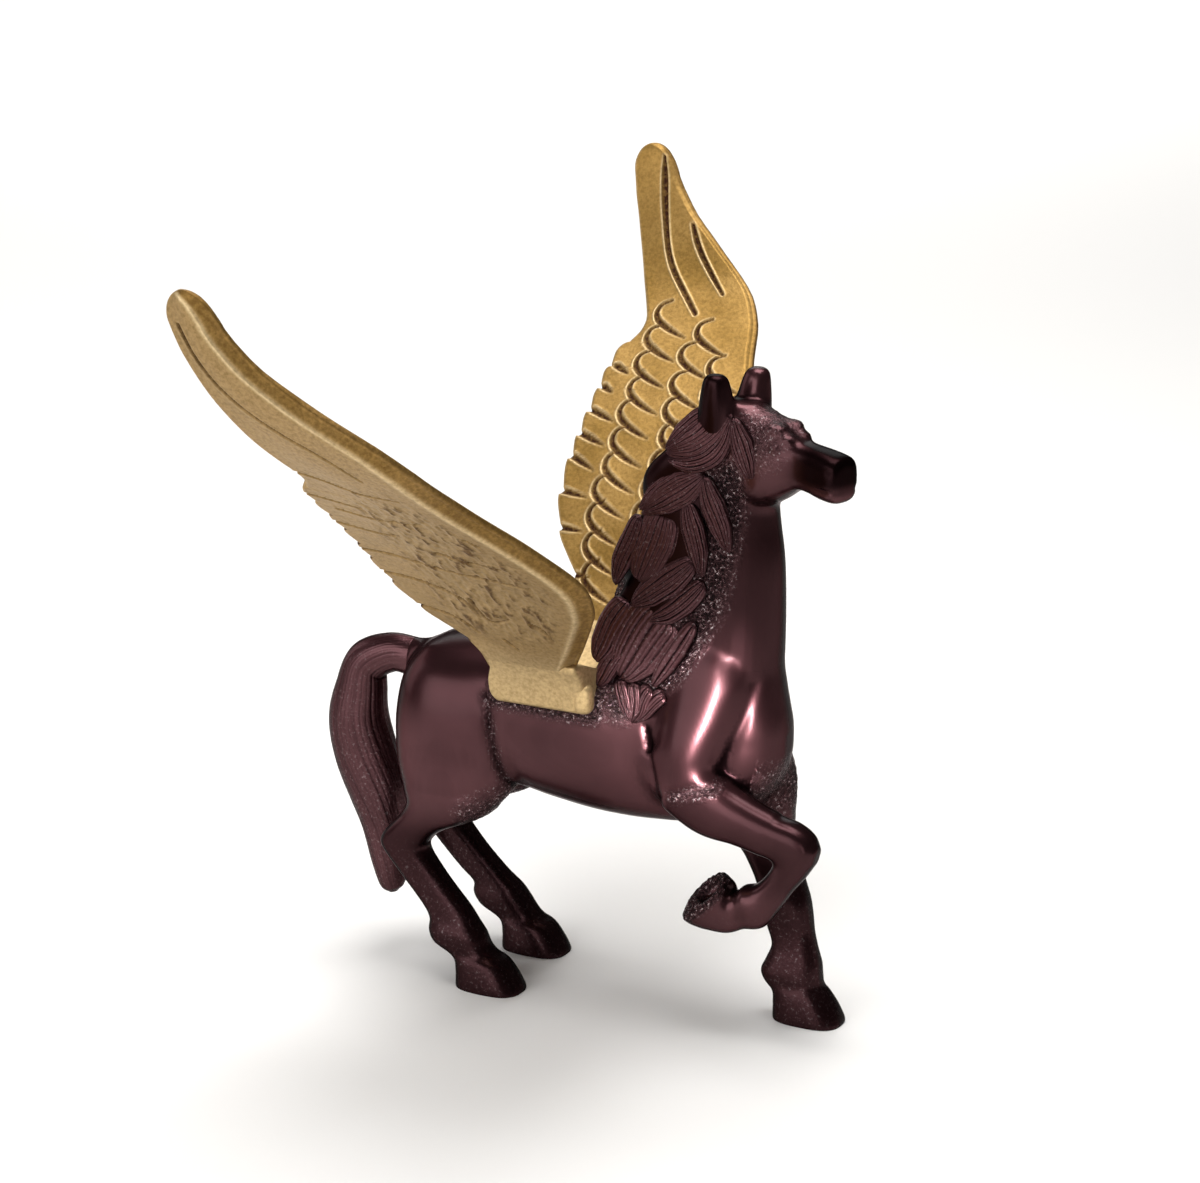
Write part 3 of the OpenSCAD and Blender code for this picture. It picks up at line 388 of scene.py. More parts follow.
# %% Lines of the engraving
BURR_H, LINE_MARGIN = 0.14, 3
HOOK = np.array([(4.8, 3.2), (3.6, 0.9), (1.6, 0), (-0.8, 0.2), (-2.8, 1.8), (-4.6, 4.4), (-6.4, 7.8), (-8, 11.6)])
FIRST_ROW = [(97.5, -29), (88.8, -28.8), (79.5, -28.2), (70.5, -26.6), (62.5, -26.3), (53.5, -25), (45.5, -24.2),
             (38, -24.6), (30, -23.4), (21.5, -21.4), (13, -19)]
SECOND_ROW = [(92.5, -15), (84, -16.6), (73.8, -15.2), (65, -13.8), (56.5, -11.6), (48, -11), (40, -10.8),
              (32, -10.6), (24, -10), (16, -9)]
THIRD_ROW = [(80.5, -6.8), (71.5, -5), (62.5, -3.2), (54, -1), (45.5, 0.6), (37, 1.4), (28.5, 1), (20.5, -0.5)]
NOTCH_CUTS = [((77.6, -33), (75.2, -28.8)), ((70.2, -34), (68.4, -31)), ((62, -34), (59, -27)),
              ((54.4, -35), (51, -26.6)), ((47.6, -35.5), (43.2, -26.8)), ((36.4, -34.5), (35, -25.8)),
              ((25.6, -31), (25, -23.4)), ((12.8, -24), (12.2, -17))]
LONG_GROOVES = [
    ([(145.5, -38.6), (140, -37.8), (132, -36.4), (124, -34.2), (117, -31.6), (111.5, -28.4), (105, -23),
      (98.5, -17.6)], [0.3, 1.1, 1.0, 0.8, 0.8, 0.85, 0.8, 0.7]),
    ([(126.5, -26.6), (122, -24.4), (118, -22), (112, -17.2), (106, -12)], [0.6, 0.85, 0.8, 0.75, 0.5]),
]
WORN_LINES = [
    [(141, -44.5), (132, -41.5), (124, -36.5), (116, -28.5), (107, -17.5), (98, -12)],
    [(97, -36), (94.5, -25), (92, -19.5), (90, -16), (88.5, -7)], [(83, -36), (81, -26.5), (80, -21.5)],
    [(67, -37), (64, -26), (65, -18.5)], [(52, -37), (52, -26), (50, -19), (48.5, -12), (47, -1.5), (45, 8)],
    [(41, -36), (40, -23.5), (37, -18), (34, -13.5), (26.5, -12.5)], [(27, -33), (24, -19), (18, -16)],
    [(58.5, -11), (57, -8), (55, -3.5), (54, 4)], [(69, 1), (66, 3.5)], [(27, 1.5), (24.5, 4.5), (20, 5.5)],
    [(35, -12), (28, -12), (24.5, -9), (27.5, -4)], [(17, -9), (13, -6.5)], [(76, -30), (74, -20), (75, -9)],
]


def smooth_line(points, step=0.25):
    """Corner-cut line through points, resampled at even steps along its length."""
    p = np.asarray(points, float)
    for _ in range(3):
        quarter, three = 0.75 * p[:-1] + 0.25 * p[1:], 0.25 * p[:-1] + 0.75 * p[1:]
        p = np.concatenate([p[:1], np.stack([quarter, three], 1).reshape(-1, p.shape[1]), p[-1:]])
    run = np.concatenate([[0], np.cumsum(np.linalg.norm(np.diff(p[:, :2], axis=0), axis=1))])
    even = np.linspace(0, run[-1], max(4, int(run[-1] / step)))
    return np.stack([np.interp(even, run, c) for c in p.T], 1)


def carve(s, x, lines):
    """Sinks a face by lines of (s, x, half width, depth): a rounded cut of that depth with a slight burr beside
    it. Returns the change of height, how far each point lies in a cut, and a painted highlight on the burr, each
    from 0 to 1."""
    sunk, inside, painted_highlight = np.zeros_like(s), np.zeros_like(s), np.zeros_like(s)
    for line in lines:
        q = smooth_line(line)
        (s0, x0), (s1, x1) = q[:, :2].min(0) - LINE_MARGIN, q[:, :2].max(0) + LINE_MARGIN
        near = (s > s0) & (s < s1) & (x > x0) & (x < x1)
        gap = np.hypot(s[near][:, None] - q[:, 0], x[near][:, None] - q[:, 1])
        k = gap.argmin(1)
        gap, wide, deep = gap.min(1), q[k, 2], q[k, 3]
        cut = np.clip(1 - (gap / wide) ** 2, 0, 1) ** 0.7
        burr = np.exp(-((gap - wide - 0.25) / 0.3) ** 2) * np.clip(deep, 0, 1)
        beside = sunk[near] + BURR_H * burr * (inside[near] == 0)
        sunk[near] = np.where(cut > 0, np.minimum(sunk[near], -deep * cut), beside)
        # The burr is also kept as a painted highlight beside the cut.
        painted_highlight[near] = np.maximum(painted_highlight[near], burr)
        deep_in = np.clip(1.5 * (1.05 - gap / wide), 0, 1) * np.clip(2 * deep, 0, 1)
        inside[near] = np.maximum(inside[near], deep_in)
    return sunk, inside, painted_highlight


def with_size(points, wide, deep):
    """A line's points joined with half widths and depths, each given at even places along it."""
    share = np.linspace(0, 1, len(points))
    grid = lambda v: np.interp(share, np.linspace(0, 1, len(v)), v)
    return np.column_stack([np.asarray(points, float), grid(wide), grid(deep)])


hooks = [with_size(HOOK * 0.98 + tip, [0.4, 0.5, 0.6, 0.9, 1.0, 0.8, 0.25], [0.4, 0.6, 0.8, 1.0, 1.0, 0.7, 0.2])
         for tip in FIRST_ROW + SECOND_ROW + THIRD_ROW]
notch_cuts = [with_size(smooth_line(c, 1.0), [1.1, 0.9, 0.3], [1.1, 0.9, 0.2]) for c in NOTCH_CUTS]
grooves = [with_size(p, w, [0.5, 1.1, 1.1, 1.0, 0.9, 0.6]) for p, w in LONG_GROOVES]
upper_lines = hooks + notch_cuts + grooves
lower_lines = [with_size(p, [0.6, 0.6, 0.5, 0.4], [0.7, 0.6, 0.5, 0.3]) for p in WORN_LINES]
print("engraved lines:", len(upper_lines), "worn lines:", len(lower_lines))

# %% [markdown]
# ## From arrays to pieces
# Every casting ends as an array of points and rows of faces. The rings of a tube are joined by quads, and each of
# its ends closes on one point. The piece is then moved into the frame, where it stands for its CAD node.

# %% Tubes and pieces
MIRROR = np.array([1, -1, 1])


def tube_faces(rings, sides):
    """Quads between the rings of a tube whose last point in each ring joins its first."""
    i, j = np.meshgrid(np.arange(rings - 1), np.arange(sides), indexing="ij")
    k = (j + 1) % sides
    return np.stack([i * sides + j, i * sides + k, (i + 1) * sides + k, (i + 1) * sides + j], 2).reshape(-1, 4)


def closed_tube(grid):
    """Points and faces of a tube with one more point in the middle of each end, joined to it by triangles."""
    rings, sides = grid.shape[:2]
    points = np.concatenate([grid.reshape(-1, 3), grid[0].mean(0)[None], grid[-1].mean(0)[None]])
    j = np.arange(sides)
    k = (j + 1) % sides
    first = np.stack([np.full(sides, rings * sides), k, j], 1)
    last = np.stack([np.full(sides, rings * sides + 1), (rings - 1) * sides + j, (rings - 1) * sides + k], 1)
    return points, tube_faces(rings, sides).tolist() + first.tolist() + last.tolist()


def paint(mesh, marks):
    """Stores one number per point under each attribute name that the material reads."""
    for name, values in marks.items():
        numbers = np.asarray(values, np.float32).ravel()
        mesh.attributes.new(name, "FLOAT", "POINT").data.foreach_set("value", numbers)


def finish_piece(mesh, name, node, material):
    """Links a mesh in drawing millimetres as a smooth piece that stands for a CAD node."""
    co = np.empty(len(mesh.vertices) * 3)
    mesh.vertices.foreach_get("co", co)
    mesh.vertices.foreach_set("co", to_frame(co.reshape(-1, 3)).ravel())
    mesh.polygons.foreach_set("use_smooth", np.full(len(mesh.polygons), True))
    mesh.update()
    piece = new_object(name, mesh, material)
    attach(piece, "root")
    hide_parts(node)
    print(name, len(mesh.polygons), "faces")


def array_piece(name, node, material, slot, points, faces, marks):
    """A piece from arrays, with the marks that its material reads."""
    mesh = new_mesh(name, points, faces)
    paint(mesh, marks)
    finish_piece(mesh, name, node, material)


def ends_too(values):
    """Marks of a tube's grid, with nothing for the two points that close its ends."""
    return np.append(values, [0, 0])


print("tubes and pieces can be made, mirrored by", MIRROR)

# %% [markdown]
# ## One wing as a closed surface
# The section runs over the upper face from the trailing to the leading edge, round that edge, back under the
# lower face and round the trailing edge. The lower face has a broad bevel along the leading edge, whose ridge
# line is also painted pale as a highlight. Rows crowd together at the tip, and the last one closes in a single
# point.

# %% Wing surface
UPPER, LOWER, EDGE = 144, 120, 8
BODY_ROWS, TIP_ROWS, UNDER_SADDLE = 332, 22, 3
BEVEL_W, BEVEL_H, INNER_BEVEL_H = 4.2, 2.7, 0.9
TIP_THINNER, TRAIL_THINNER = 0.3, 1.2
body_rows = np.linspace(-UNDER_SADDLE, WING_LEN - TIP_ROUND, BODY_ROWS)
tip_rows = WING_LEN - TIP_ROUND + TIP_ROUND * np.sin(np.linspace(0, np.pi / 2, TIP_ROWS)[1:-1])
rows = np.concatenate([body_rows, tip_rows])


def lattice_noise(u, v, seed):
    """Smooth noise from -1 to 1: random heights at whole numbers of u and v, blended by smooth steps between."""
    heights = np.random.default_rng(seed).uniform(-1, 1, (256, 256))
    i, j = np.floor(u).astype(int), np.floor(v).astype(int)
    a, b = rise(u - i, 0, 1), rise(v - j, 0, 1)
    at = lambda m, n: heights[(i + m) % 256, (j + n) % 256]
    return (at(0, 0) * (1 - a) + at(1, 0) * a) * (1 - b) + (at(0, 1) * (1 - a) + at(1, 1) * a) * b


def wing_surface():
    """Grid of points of the left wing and its three marks: place along the bend plus height along its normal, for
    rows by the points of the section."""
    s = rows[:, None]
    trail, lead = wing_edges(np.maximum(s, 0))
    chord = lead - trail
    blunt = np.sqrt(1 - np.clip((s - WING_LEN + 2.2) / 2.25, 0, 1) ** 2)
    half = WING_T / 2 * (1 - TIP_THINNER * rise(s / WING_LEN, 0.8, 1)) * blunt
    fade, corner = np.minimum(1, half / 2), np.minimum(1.0, chord / 8)
    f = np.linspace(0, 1, UPPER)
    xu, xl = [trail + corner + share * (chord - 2 * corner) for share in (f, np.linspace(1, 0, LOWER))]
    su, sl = [np.broadcast_to(s, x.shape).copy() for x in (xu, xl)]

    sunk, cut, burr = carve(su, xu, upper_lines)
    clear = rise(s, 2, 7)
    crown = 0.25 * np.sin(np.pi * f) + 0.12 * np.sin(0.31 * su + 0.2 * xu) * np.sin(0.23 * xu)
    inner_bevel = -INNER_BEVEL_H * rise(xu, lead - 2.4, lead - 0.4)
    up = half + (sunk * clear + inner_bevel + 0.6 * crown) * fade

    worn, scratch, _ = carve(sl, xl, lower_lines)
    rough = rise(sl, 12, 26) * (1 - rise(sl, 78, 98)) * rise(xl, -26, -18) * (1 - rise(xl, lead - 12, lead - 6))
    relief = lattice_noise(sl / 4 + xl / 5, xl / 1.4, 7) + 0.6 * lattice_noise(sl / 1.6, xl / 0.7, 8)
    pitted, crack = 0.25 * rough * relief, 0.75 * rough * rise(-relief, 0.35, 0.8)
    shown = rise(s, 4, 16)
    bevel = BEVEL_H * np.clip((xl - lead + BEVEL_W) / BEVEL_W, 0, 1) * np.minimum(1, chord / 14)
    thin = TRAIL_THINNER * shown * (1 - rise(xl, trail, (trail + lead) / 2))
    low = -half + (bevel + thin - worn * shown + pitted) * fade

    turn = np.linspace(np.pi / 2, -np.pi / 2, EDGE + 2)[1:-1]
    bulge = np.abs(np.cos(turn)) ** 0.6
    level = np.sign(np.sin(turn)) * np.abs(np.sin(turn)) ** 0.6
    lead_mid, lead_half = (up[:, -1:] + low[:, :1]) / 2, (up[:, -1:] - low[:, :1]) / 2
    trail_mid, trail_half = (up[:, :1] + low[:, -1:]) / 2, (up[:, :1] - low[:, -1:]) / 2
    x = np.hstack([xu, lead - corner + corner * bulge, xl, trail + corner - corner * bulge])
    h = np.hstack([up, lead_mid + lead_half * level, low, trail_mid - trail_half * level])
    angle = np.radians(slope_at(np.maximum(s, 0)))
    below = np.minimum(s, 0)
    y = np.interp(s, arc, arc_y) + below * np.cos(angle) - np.sin(angle) * h
    z = np.interp(s, arc, arc_z) + below * np.sin(angle) + np.cos(angle) * h

    flat = np.zeros((len(rows), EDGE))
    scored = np.max([0.9 * scratch * shown, crack, 0.3 * rise(xl, lead - 3.6, lead - 2.6)], 0)
    dulled = np.clip(0.8 + 0.2 * rough, 0, 1) * (1 - rise(xl, lead - 4.4, lead - 3.4))
    # A painted highlight along the ridge of the bevel, and a paler band near the root.
    ridge = np.exp(-(((xl - lead + BEVEL_W) / 0.8) ** 2))
    painted_highlight = np.maximum(0.3 * (1 - shown), 0.8 * ridge)
    # The polish mark holds painted highlights on the burrs and the bevel's ridge, and a paler trailing edge.
    return np.stack([x, y, z], 2), {
        "engraved": np.hstack([cut * clear, flat + 0.3, scored, np.repeat(cut[:, :1], EDGE, 1)]),
        "rubbed": np.hstack([0 * xu, flat, dulled, flat]),
        "polish_and_painted_highlight": np.hstack([0.7 * burr * (cut < 0.3), flat, painted_highlight, flat + 0.2])}


wing_grid, wing_marks = wing_surface()
for node, side in (("left_wing", 1), ("right_wing", -1)):
    marks = {name: ends_too(values[:, ::side]) for name, values in wing_marks.items()}
    points, faces = closed_tube(wing_grid[:, ::side] * [1, side, 1])
    array_piece(node + "_casting", node, brass, "satin_brass", points, faces, marks)

# %% [markdown]
# ## The horse as one flowing form
# The horse is modelled in clay, moulded and cast in pieces, and its muscles run into each other with no
# edges. Crossing surfaces would show a hard line wherever a leg meets the trunk. So each limb is first a
# simple tube, an oval profile carried along a path, and the tubes are then melted together: each one becomes
# a field of distances from its surface, the fields are blended with a soft minimum, and the skin is drawn
# where the blend is zero. The joints of the real castings become plane cuts through that skin.

# %% Ovals carried along a path


def spline(stations, count):
    """Smooth curve through rows of numbers: cubic pieces whose slopes are half the step between neighbours."""
    p = np.asarray(stations, float)
    slope = np.gradient(p, axis=0)
    t = np.linspace(0, len(p) - 1, count)
    i = np.minimum(t.astype(int), len(p) - 2)
    u = (t - i)[:, None]
    a, b, da, db = p[i], p[i + 1], slope[i], slope[i + 1]
    return ((2 * u**3 - 3 * u**2 + 1) * a + (u**3 - 2 * u**2 + u) * da
            + (3 * u**2 - 2 * u**3) * b + (u**3 - u**2) * db)


def ovals(centre, across, up, full, sides=40):
    """Rings of rounded ovals: centre + across cos^(2/full) + up sin^(2/full), one ring per row."""
    a = np.linspace(0, 2 * np.pi, sides, endpoint=False)
    power = 2 / np.broadcast_to(np.asarray(full, float), (len(centre),))[:, None]
    c = np.sign(np.cos(a)) * np.abs(np.cos(a)) ** power
    s = np.sign(np.sin(a)) * np.abs(np.sin(a)) ** power
    return centre[:, None] + across[:, None] * c[..., None] + up[:, None] * s[..., None]


def level_tube(stations, count=60, full=2.1):
    """Tube of level sections from rows of back, front, side place, width and height."""
    back, front, side, width, z = spline(stations, count).T
    zero = np.zeros(count)
    return ovals(np.stack([(back + front) / 2, side, z], 1), np.stack([(front - back) / 2, zero, zero], 1),
                 np.stack([zero, width / 2, zero], 1), full)


def heading(x, z):
    """Steps of length one along a path in the side view."""
    run = np.stack([np.gradient(x), np.gradient(z)], 1)
    return run / np.linalg.norm(run, axis=1)[:, None]


def path_tube(stations, side, count=60, full=2.0):
    """Tube square to a path, from rows of place, height, depth and width, and one side place or one per row."""
    sides = np.broadcast_to(side, len(stations))
    x, z, depth, width, y = spline(np.column_stack([stations, sides]), count).T
    run, zero = heading(x, z), np.zeros(count)
    return ovals(np.stack([x, y, z], 1), np.stack([zero, width / 2, zero], 1),
                 np.stack([-run[:, 1], zero, run[:, 0]], 1) * depth[:, None] / 2, full)


print("tubes are level sections or sections square to a path")

# %% [markdown]
# ## Trunk, thighs and shoulders
# The trunk is deepest behind the elbow and tucked up at the flank. Two thighs and the shoulder of each
# foreleg are separate tubes laid into it.

# %% Trunk tubes
LEG_JOINT_Z, NECK_JOINT_Z, TAIL_JOINT_X = 47.5, 94.5, -54.0
trunk_sections = spline([
    # place, top, underside, half width
    (-53.6, 77, 68, 3), (-52.6, 82, 62, 8), (-50, 86, 57.5, 12.5), (-44, 89.8, 54, 16.2),
    (-34, 91.2, 52.8, 17.4), (-22, 91.8, 53.4, 16.6), (-10, 92.6, 51.6, 17.4), (2, 93.3, 50.3, 18.2),
    (12, 93.5, 50, 18), (19, 93.5, 50.2, 16.8), (26, 93.5, 50.6, 14.8), (36, 92.5, 52, 13), (43, 91, 56, 11.6),
    (48, 87, 61, 9), (51, 82.5, 67, 6), (52.4, 78, 72, 2.5)], 90)
place_x, top, low, half = trunk_sections.T
nil = np.zeros(len(place_x))
trunk = ovals(np.stack([place_x, nil, (top + low) / 2], 1), np.stack([nil, half, nil], 1),
              np.stack([nil, nil, (top - low) / 2], 1), 2.3, 64)
thigh = level_tube([(-50.5, -40, 12, 9, 41), (-49.5, -32, 11.8, 13, 44.6), (-49, -27, 11.5, 15.2, 47.5),
                    (-51, -21, 11, 17.5, 52), (-53.2, -18.4, 10, 19, 60), (-53.4, -19.5, 9, 18.4, 71),
                    (-51, -25, 7.5, 14, 81), (-46, -32, 6, 6, 87)])
shoulder_dome = level_tube([(29, 36, -7.2, 7.5, 101), (25, 41.5, -7.4, 12.6, 97), (22.4, 44.6, -7.6, 16.4, 91),
                            (21.4, 44, -8.4, 19, 84), (21.2, 42, -9.6, 20.6, 77), (21.8, 40.4, -10.4, 20.4, 71),
                            (23.5, 39, -10.8, 18, 65), (26.5, 37.5, -11, 12, 59.5), (29, 36, -11, 6, 57)], 60, 1.8)
shoulder = level_tube([(36, 48, 9, 10, 43), (34.5, 49, 9, 13, 47.5), (31.5, 50, 9.6, 14.5, 55),
                       (28, 49.6, 9.6, 15.5, 64), (27.5, 46, 9, 15.6, 75), (30, 43, 7.5, 13, 88)])
raised_shoulder = path_tube([(26, 74, 16, 9), (30, 66.5, 17, 12), (37, 61.2, 14.4, 12.5), (46.5, 57.8, 12, 11),
                             (53.5, 55.6, 11, 10)], -13.3)
tail_head = path_tube([(-36, 80.5, 10.5, 9), (-46, 81, 10.5, 9), (-54, 81.5, 10.5, 8.5), (-58, 81.6, 10.5, 8.5)], 0)
print("trunk from", trunk[..., 0].min().round(1), "to", trunk[..., 0].max().round(1))

# %% [markdown]
# ## Legs
# The standing legs rise from flat hooves. The hock and fetlock are wider than the cannon between them, and a
# small tuft stands out behind each fetlock. The right foreleg is raised, with its cannon and hoof folded back.

# %% Leg tubes


HIND_LEG = np.array([
    # back, front, side place, width and height, then how much of the lag it takes
    (-33.8, -15.2, 14, 13, -0.4, 0.4), (-33.8, -15.6, 14, 13, 1, 0.4), (-33.8, -17.4, 14, 12.2, 4.2, 0.4),
    (-34.4, -20, 14, 11, 7.4, 0.4), (-37, -22.8, 14, 9.6, 9, 0.4), (-40.8, -25, 14, 10, 11, 0.4),
    (-42, -26.4, 14, 10, 14, 0.6), (-42, -28.6, 13.8, 8.6, 17, 0.6), (-44.4, -31.2, 13.6, 8, 20.5, 1),
    (-51, -38, 13.2, 8, 27.5, 1), (-56.3, -43.4, 13, 9.4, 34.2, 1), (-56, -42.4, 12.8, 10.2, 37.5, 1),
    (-53.2, -38, 12.4, 11.4, 41, 0.6), (-50, -30, 12, 13.4, 44.5, 0.4), (-48.5, -25, 11.5, 15, 47.5, 0),
    (-48.5, -24, 11.5, 15, 51, 0)])
LEFT_LAG, RAISED_Y = 4.0, -13.5
LEG_RINGS, LEG_SQUARENESS = 120, 2.9


def hind_leg(lag):
    """Left hind leg from sole to thigh, with its hock and cannon set back by a lag."""
    return level_tube(HIND_LEG[:, :5] - lag * HIND_LEG[:, 5:] * [1, 1, 0, 0, 0], LEG_RINGS, LEG_SQUARENESS)


fore_leg = level_tube([
    (47.8, 66.2, 5, 13, -0.4), (47.8, 66, 5, 13, 1), (47.8, 64.4, 5, 12.2, 4.2), (47.4, 62.2, 5, 11, 7.4),
    (45.2, 60.6, 5, 9.8, 9.4), (44, 60, 5.2, 10, 12), (45.2, 59.6, 5.5, 9.4, 15), (46.6, 58.4, 5.7, 8, 19),
    (45.2, 57.2, 6.2, 8.2, 23), (43.8, 56.4, 6.6, 9.6, 27), (42.8, 55.4, 6.9, 10.4, 31), (41, 53.4, 7.5, 10.4, 36),
    (37.6, 51, 8.4, 11.8, 42), (34.5, 49, 9, 13, 47.5), (33.5, 49, 9, 13.5, 51)], LEG_RINGS, LEG_SQUARENESS)
raised_arm = path_tube([(30, 66, 18, 12), (38, 60.3, 15.5, 12.5), (46.5, 57.5, 11.8, 11), (53.5, 55.4, 10.8, 10),
                        (59.5, 54, 10.8, 10), (64, 52.4, 8.5, 8), (66.2, 51.8, 4, 4.5)], RAISED_Y, 60, 2.6)
raised_cannon = path_tube([(62, 54, 8, 7), (60.5, 49.4, 8.8, 8.6), (57, 43.8, 7.6, 7.8), (53.4, 39, 8.6, 8.4),
                           (49.8, 36, 11.4, 9.8), (46.2, 34.4, 9.6, 8.8), (43, 33.8, 11.8, 10.4),
                           (39.6, 34.8, 14.4, 12), (36, 36.2, 15.8, 12.8), (33.6, 37, 14.6, 12.4),
                           (31.8, 37.4, 11.6, 10.4), (30.8, 37.6, 7, 7)], RAISED_Y, 90, 2.5)
print("the left hock stands", LEFT_LAG, "mm behind the right one")

# %% [markdown]
# ## Neck and head
# The neck stands almost upright, flat at the front and thinning towards the crest. The head is level and
# turned a little to the horse's right: a deep round jaw, a narrow straight nose and a blunt muzzle.

# %% Neck and head tubes
POLL = np.array([40.0, 0.0, 159.5])
HEAD_TURN = math.radians(18)
head_dir = np.array([math.cos(HEAD_TURN), -math.sin(HEAD_TURN), 0])
head_side = np.array([math.sin(HEAD_TURN), math.cos(HEAD_TURN), 0])


def in_head(along, side, up):
    """A place on the head from its distance along it, to its left and up, counted from the poll."""
    turned = np.multiply.outer(along, head_dir) + np.multiply.outer(side, head_side)
    return POLL + turned + np.multiply.outer(up, [0, 0, 1.0])


neck = level_tube([(6, 48, 0, 20, 80), (4.5, 50, 0, 25.6, 88), (4, 50, 0, 26, 94.5), (4.4, 50.2, 0, 25, 103),
                   (7, 50.2, 0, 22.8, 113), (11, 49.8, 0, 20.4, 122), (15, 48.6, 0, 18.4, 131),
                   (19, 47.8, 0, 16.8, 140), (23.2, 47.8, 0, 15.4, 149), (29.4, 46.6, 0, 13.4, 155.5),
                   (35, 43, 0, 9.6, 159.4)], 90, 2.15)
along, top, low, wide, square = spline([
    # distance from the poll, top and underside below it, width, squareness
    (-6, 2, 19, 8, 2), (0, 0.4, 23, 13.4, 2.1), (6.5, 1, 24, 15.2, 2.2), (11.5, 2.8, 22.4, 14.4, 2.4),
    (15.5, 5, 19.8, 11.6, 2.6), (18.6, 6.3, 18.2, 9.4, 2.8), (22, 6.8, 18.4, 8.8, 3), (26, 7.2, 19.2, 9.4, 3),
    (29.4, 7.8, 19.4, 9.8, 3.1), (31.3, 8.4, 19, 9, 3.2), (32.1, 9.8, 17.8, 6.8, 3)], 80).T
head = ovals(in_head(along, 0 * along, -(top + low) / 2), wide[:, None] / 2 * head_side,
             ((top - low) / 2)[:, None] * [0, 0, -1.0], square, 48)


def ear(side):
    """Blunt upright ear: round sections that lean outwards and shrink to a rounded end."""
    h, along_r, side_r = spline([(-7, 4.6, 3.8), (-3, 4.8, 4), (0, 4.5, 3.9), (3, 3.9, 3.5), (6, 3.2, 2.9),
                                 (7.3, 2.2, 2), (7.7, 0.6, 0.6)], 40).T
    centre = in_head(-2.9 + 0.9 * side + 0.06 * h, side * (5.6 + 0.12 * h) - 1.2, h)
    return ovals(centre, along_r[:, None] * head_dir, side_r[:, None] * head_side, 2.2)


MANE_CORE = [
    # width, then place, height and distance to the right, from root to tip
    (9.5, [(40, 157.4, 3), (34.6, 154.4, 4.5), (29.6, 150.6, 5), (25.6, 147.6, 4.5), (22.6, 145.4, 3.5)]),
    (12, [(33, 148.5, 6), (28, 144.6, 6.6), (23, 140.7, 6.6), (19, 136.8, 6), (15.8, 133.5, 5)]),
    (14, [(29, 138.7, 7), (25, 131.6, 7.8), (20, 124.4, 8.2), (16, 118.6, 7.8), (13, 113.4, 7)]),
    (16, [(32, 126.4, 8), (27, 117.2, 9), (21, 110.8, 9.6), (15, 104.3, 9.6), (10.5, 99.7, 9)]),
    (14, [(30, 112.7, 9.4), (26, 107.5, 10.6), (21, 101, 11.2), (16, 95, 11.6), (12, 90, 11.6)]),
]
SWELL = np.array([0.5, 0.95, 1, 0.85, 0.35])


def mane_core(width, points):
    """Thick leaf under the locks, whose place, height and distance to the right are given."""
    x, z, right = np.array(points, float).T
    return path_tube(np.column_stack([x, z, SWELL * width, SWELL * 5]), -right, 40)


print("head ends at", head[..., 0].max().round(1))

# %% [markdown]
# ## Melting the tubes together
# Every tube is turned into a grid of distances. A soft minimum joins two of them with a fillet as wide as its
# reach: wide where muscles meet, narrow at the ears.

# %% Distance fields
BAND = 12


def distance_grid(tube, voxel):
    """Signed distances from a closed tube in a band on both sides of it, as a sparse grid."""
    points, faces = closed_tube(tube)
    quads = np.array([f for f in faces if len(f) == 4], np.uint32)
    ends = np.array([f for f in faces if len(f) == 3], np.uint32)
    return openvdb.FloatGrid.createLevelSetFromPolygons(
        points.astype(np.float32), triangles=ends, quads=quads,
        transform=openvdb.createLinearTransform(voxelSize=voxel), halfWidth=float(BAND))


def soft_min(a, b, reach):
    """The smaller of two distances, rounded off where they differ by less than the reach."""
    h = np.clip(0.5 + 0.5 * (b - a) / reach, 0, 1)
    return b + (a - b) * h - reach * h * (1 - h)


FORM = [
    # tube and the reach of its fillet
    (trunk, 0), (thigh, 3.5), (thigh * MIRROR, 3.5), (neck, 7), (shoulder_dome, 2.2),
    (shoulder_dome * MIRROR, 2.2), (shoulder, 3), (raised_shoulder, 2.5), (tail_head, 3),
    (hind_leg(LEFT_LAG), 2), (hind_leg(0.0) * MIRROR, 2), (fore_leg, 2), (raised_arm, 1.5),
    (raised_cannon, 2), (head, 3), (ear(1), 1.2), (ear(-1), 1.2),
] + [(mane_core(*core), 2.5) for core in MANE_CORE]


def horse_field(low, high, voxel):
    """Blend of all tubes that come near a box: returns the field and the index of its first voxel."""
    first = np.floor(np.array(low) / voxel).astype(int)
    shape = np.ceil(np.array(high) / voxel).astype(int) - first + 1
    reach = BAND * voxel
    field = np.full(shape, reach, np.float32)
    for tube, fillet in FORM:
        if (tube.max((0, 1)) + reach < low).any() or (tube.min((0, 1)) - reach > high).any():
            continue
        part = np.empty(shape, np.float32)
        distance_grid(tube, voxel).copyToArray(part, ijk=tuple(int(i) for i in first))
        field = soft_min(field, part, fillet) if fillet else np.minimum(field, part)
    return field, first


def axes_of(field, first, voxel):
    """Places of the grid's voxels along x, y and z, ready to combine."""
    return np.ix_(*[(first[k] + np.arange(field.shape[k])) * voxel for k in range(3)])


def soften(field, times):
    """Weighted mean of each voxel with its neighbours along each axis."""
    for _ in range(times):
        for axis in range(3):
            f = np.moveaxis(field, axis, 0)
            f[1:-1] = (f[:-2] + 2 * f[1:-1] + f[2:]) / 4
    return field


def skin(field, first, voxel):
    """Points and quads of the surface where the field is zero; the box's own faces close it."""
    for axis in range(3):
        np.moveaxis(field, axis, 0)[[0, -1]] = BAND * voxel
    grid = openvdb.FloatGrid(BAND * voxel)
    grid.transform = openvdb.createLinearTransform(voxelSize=voxel)
    grid.copyFromArray(field, ijk=tuple(int(i) for i in first))
    points, quads = grid.convertToQuads(0.0)
    return points.astype(float), quads.astype(int)


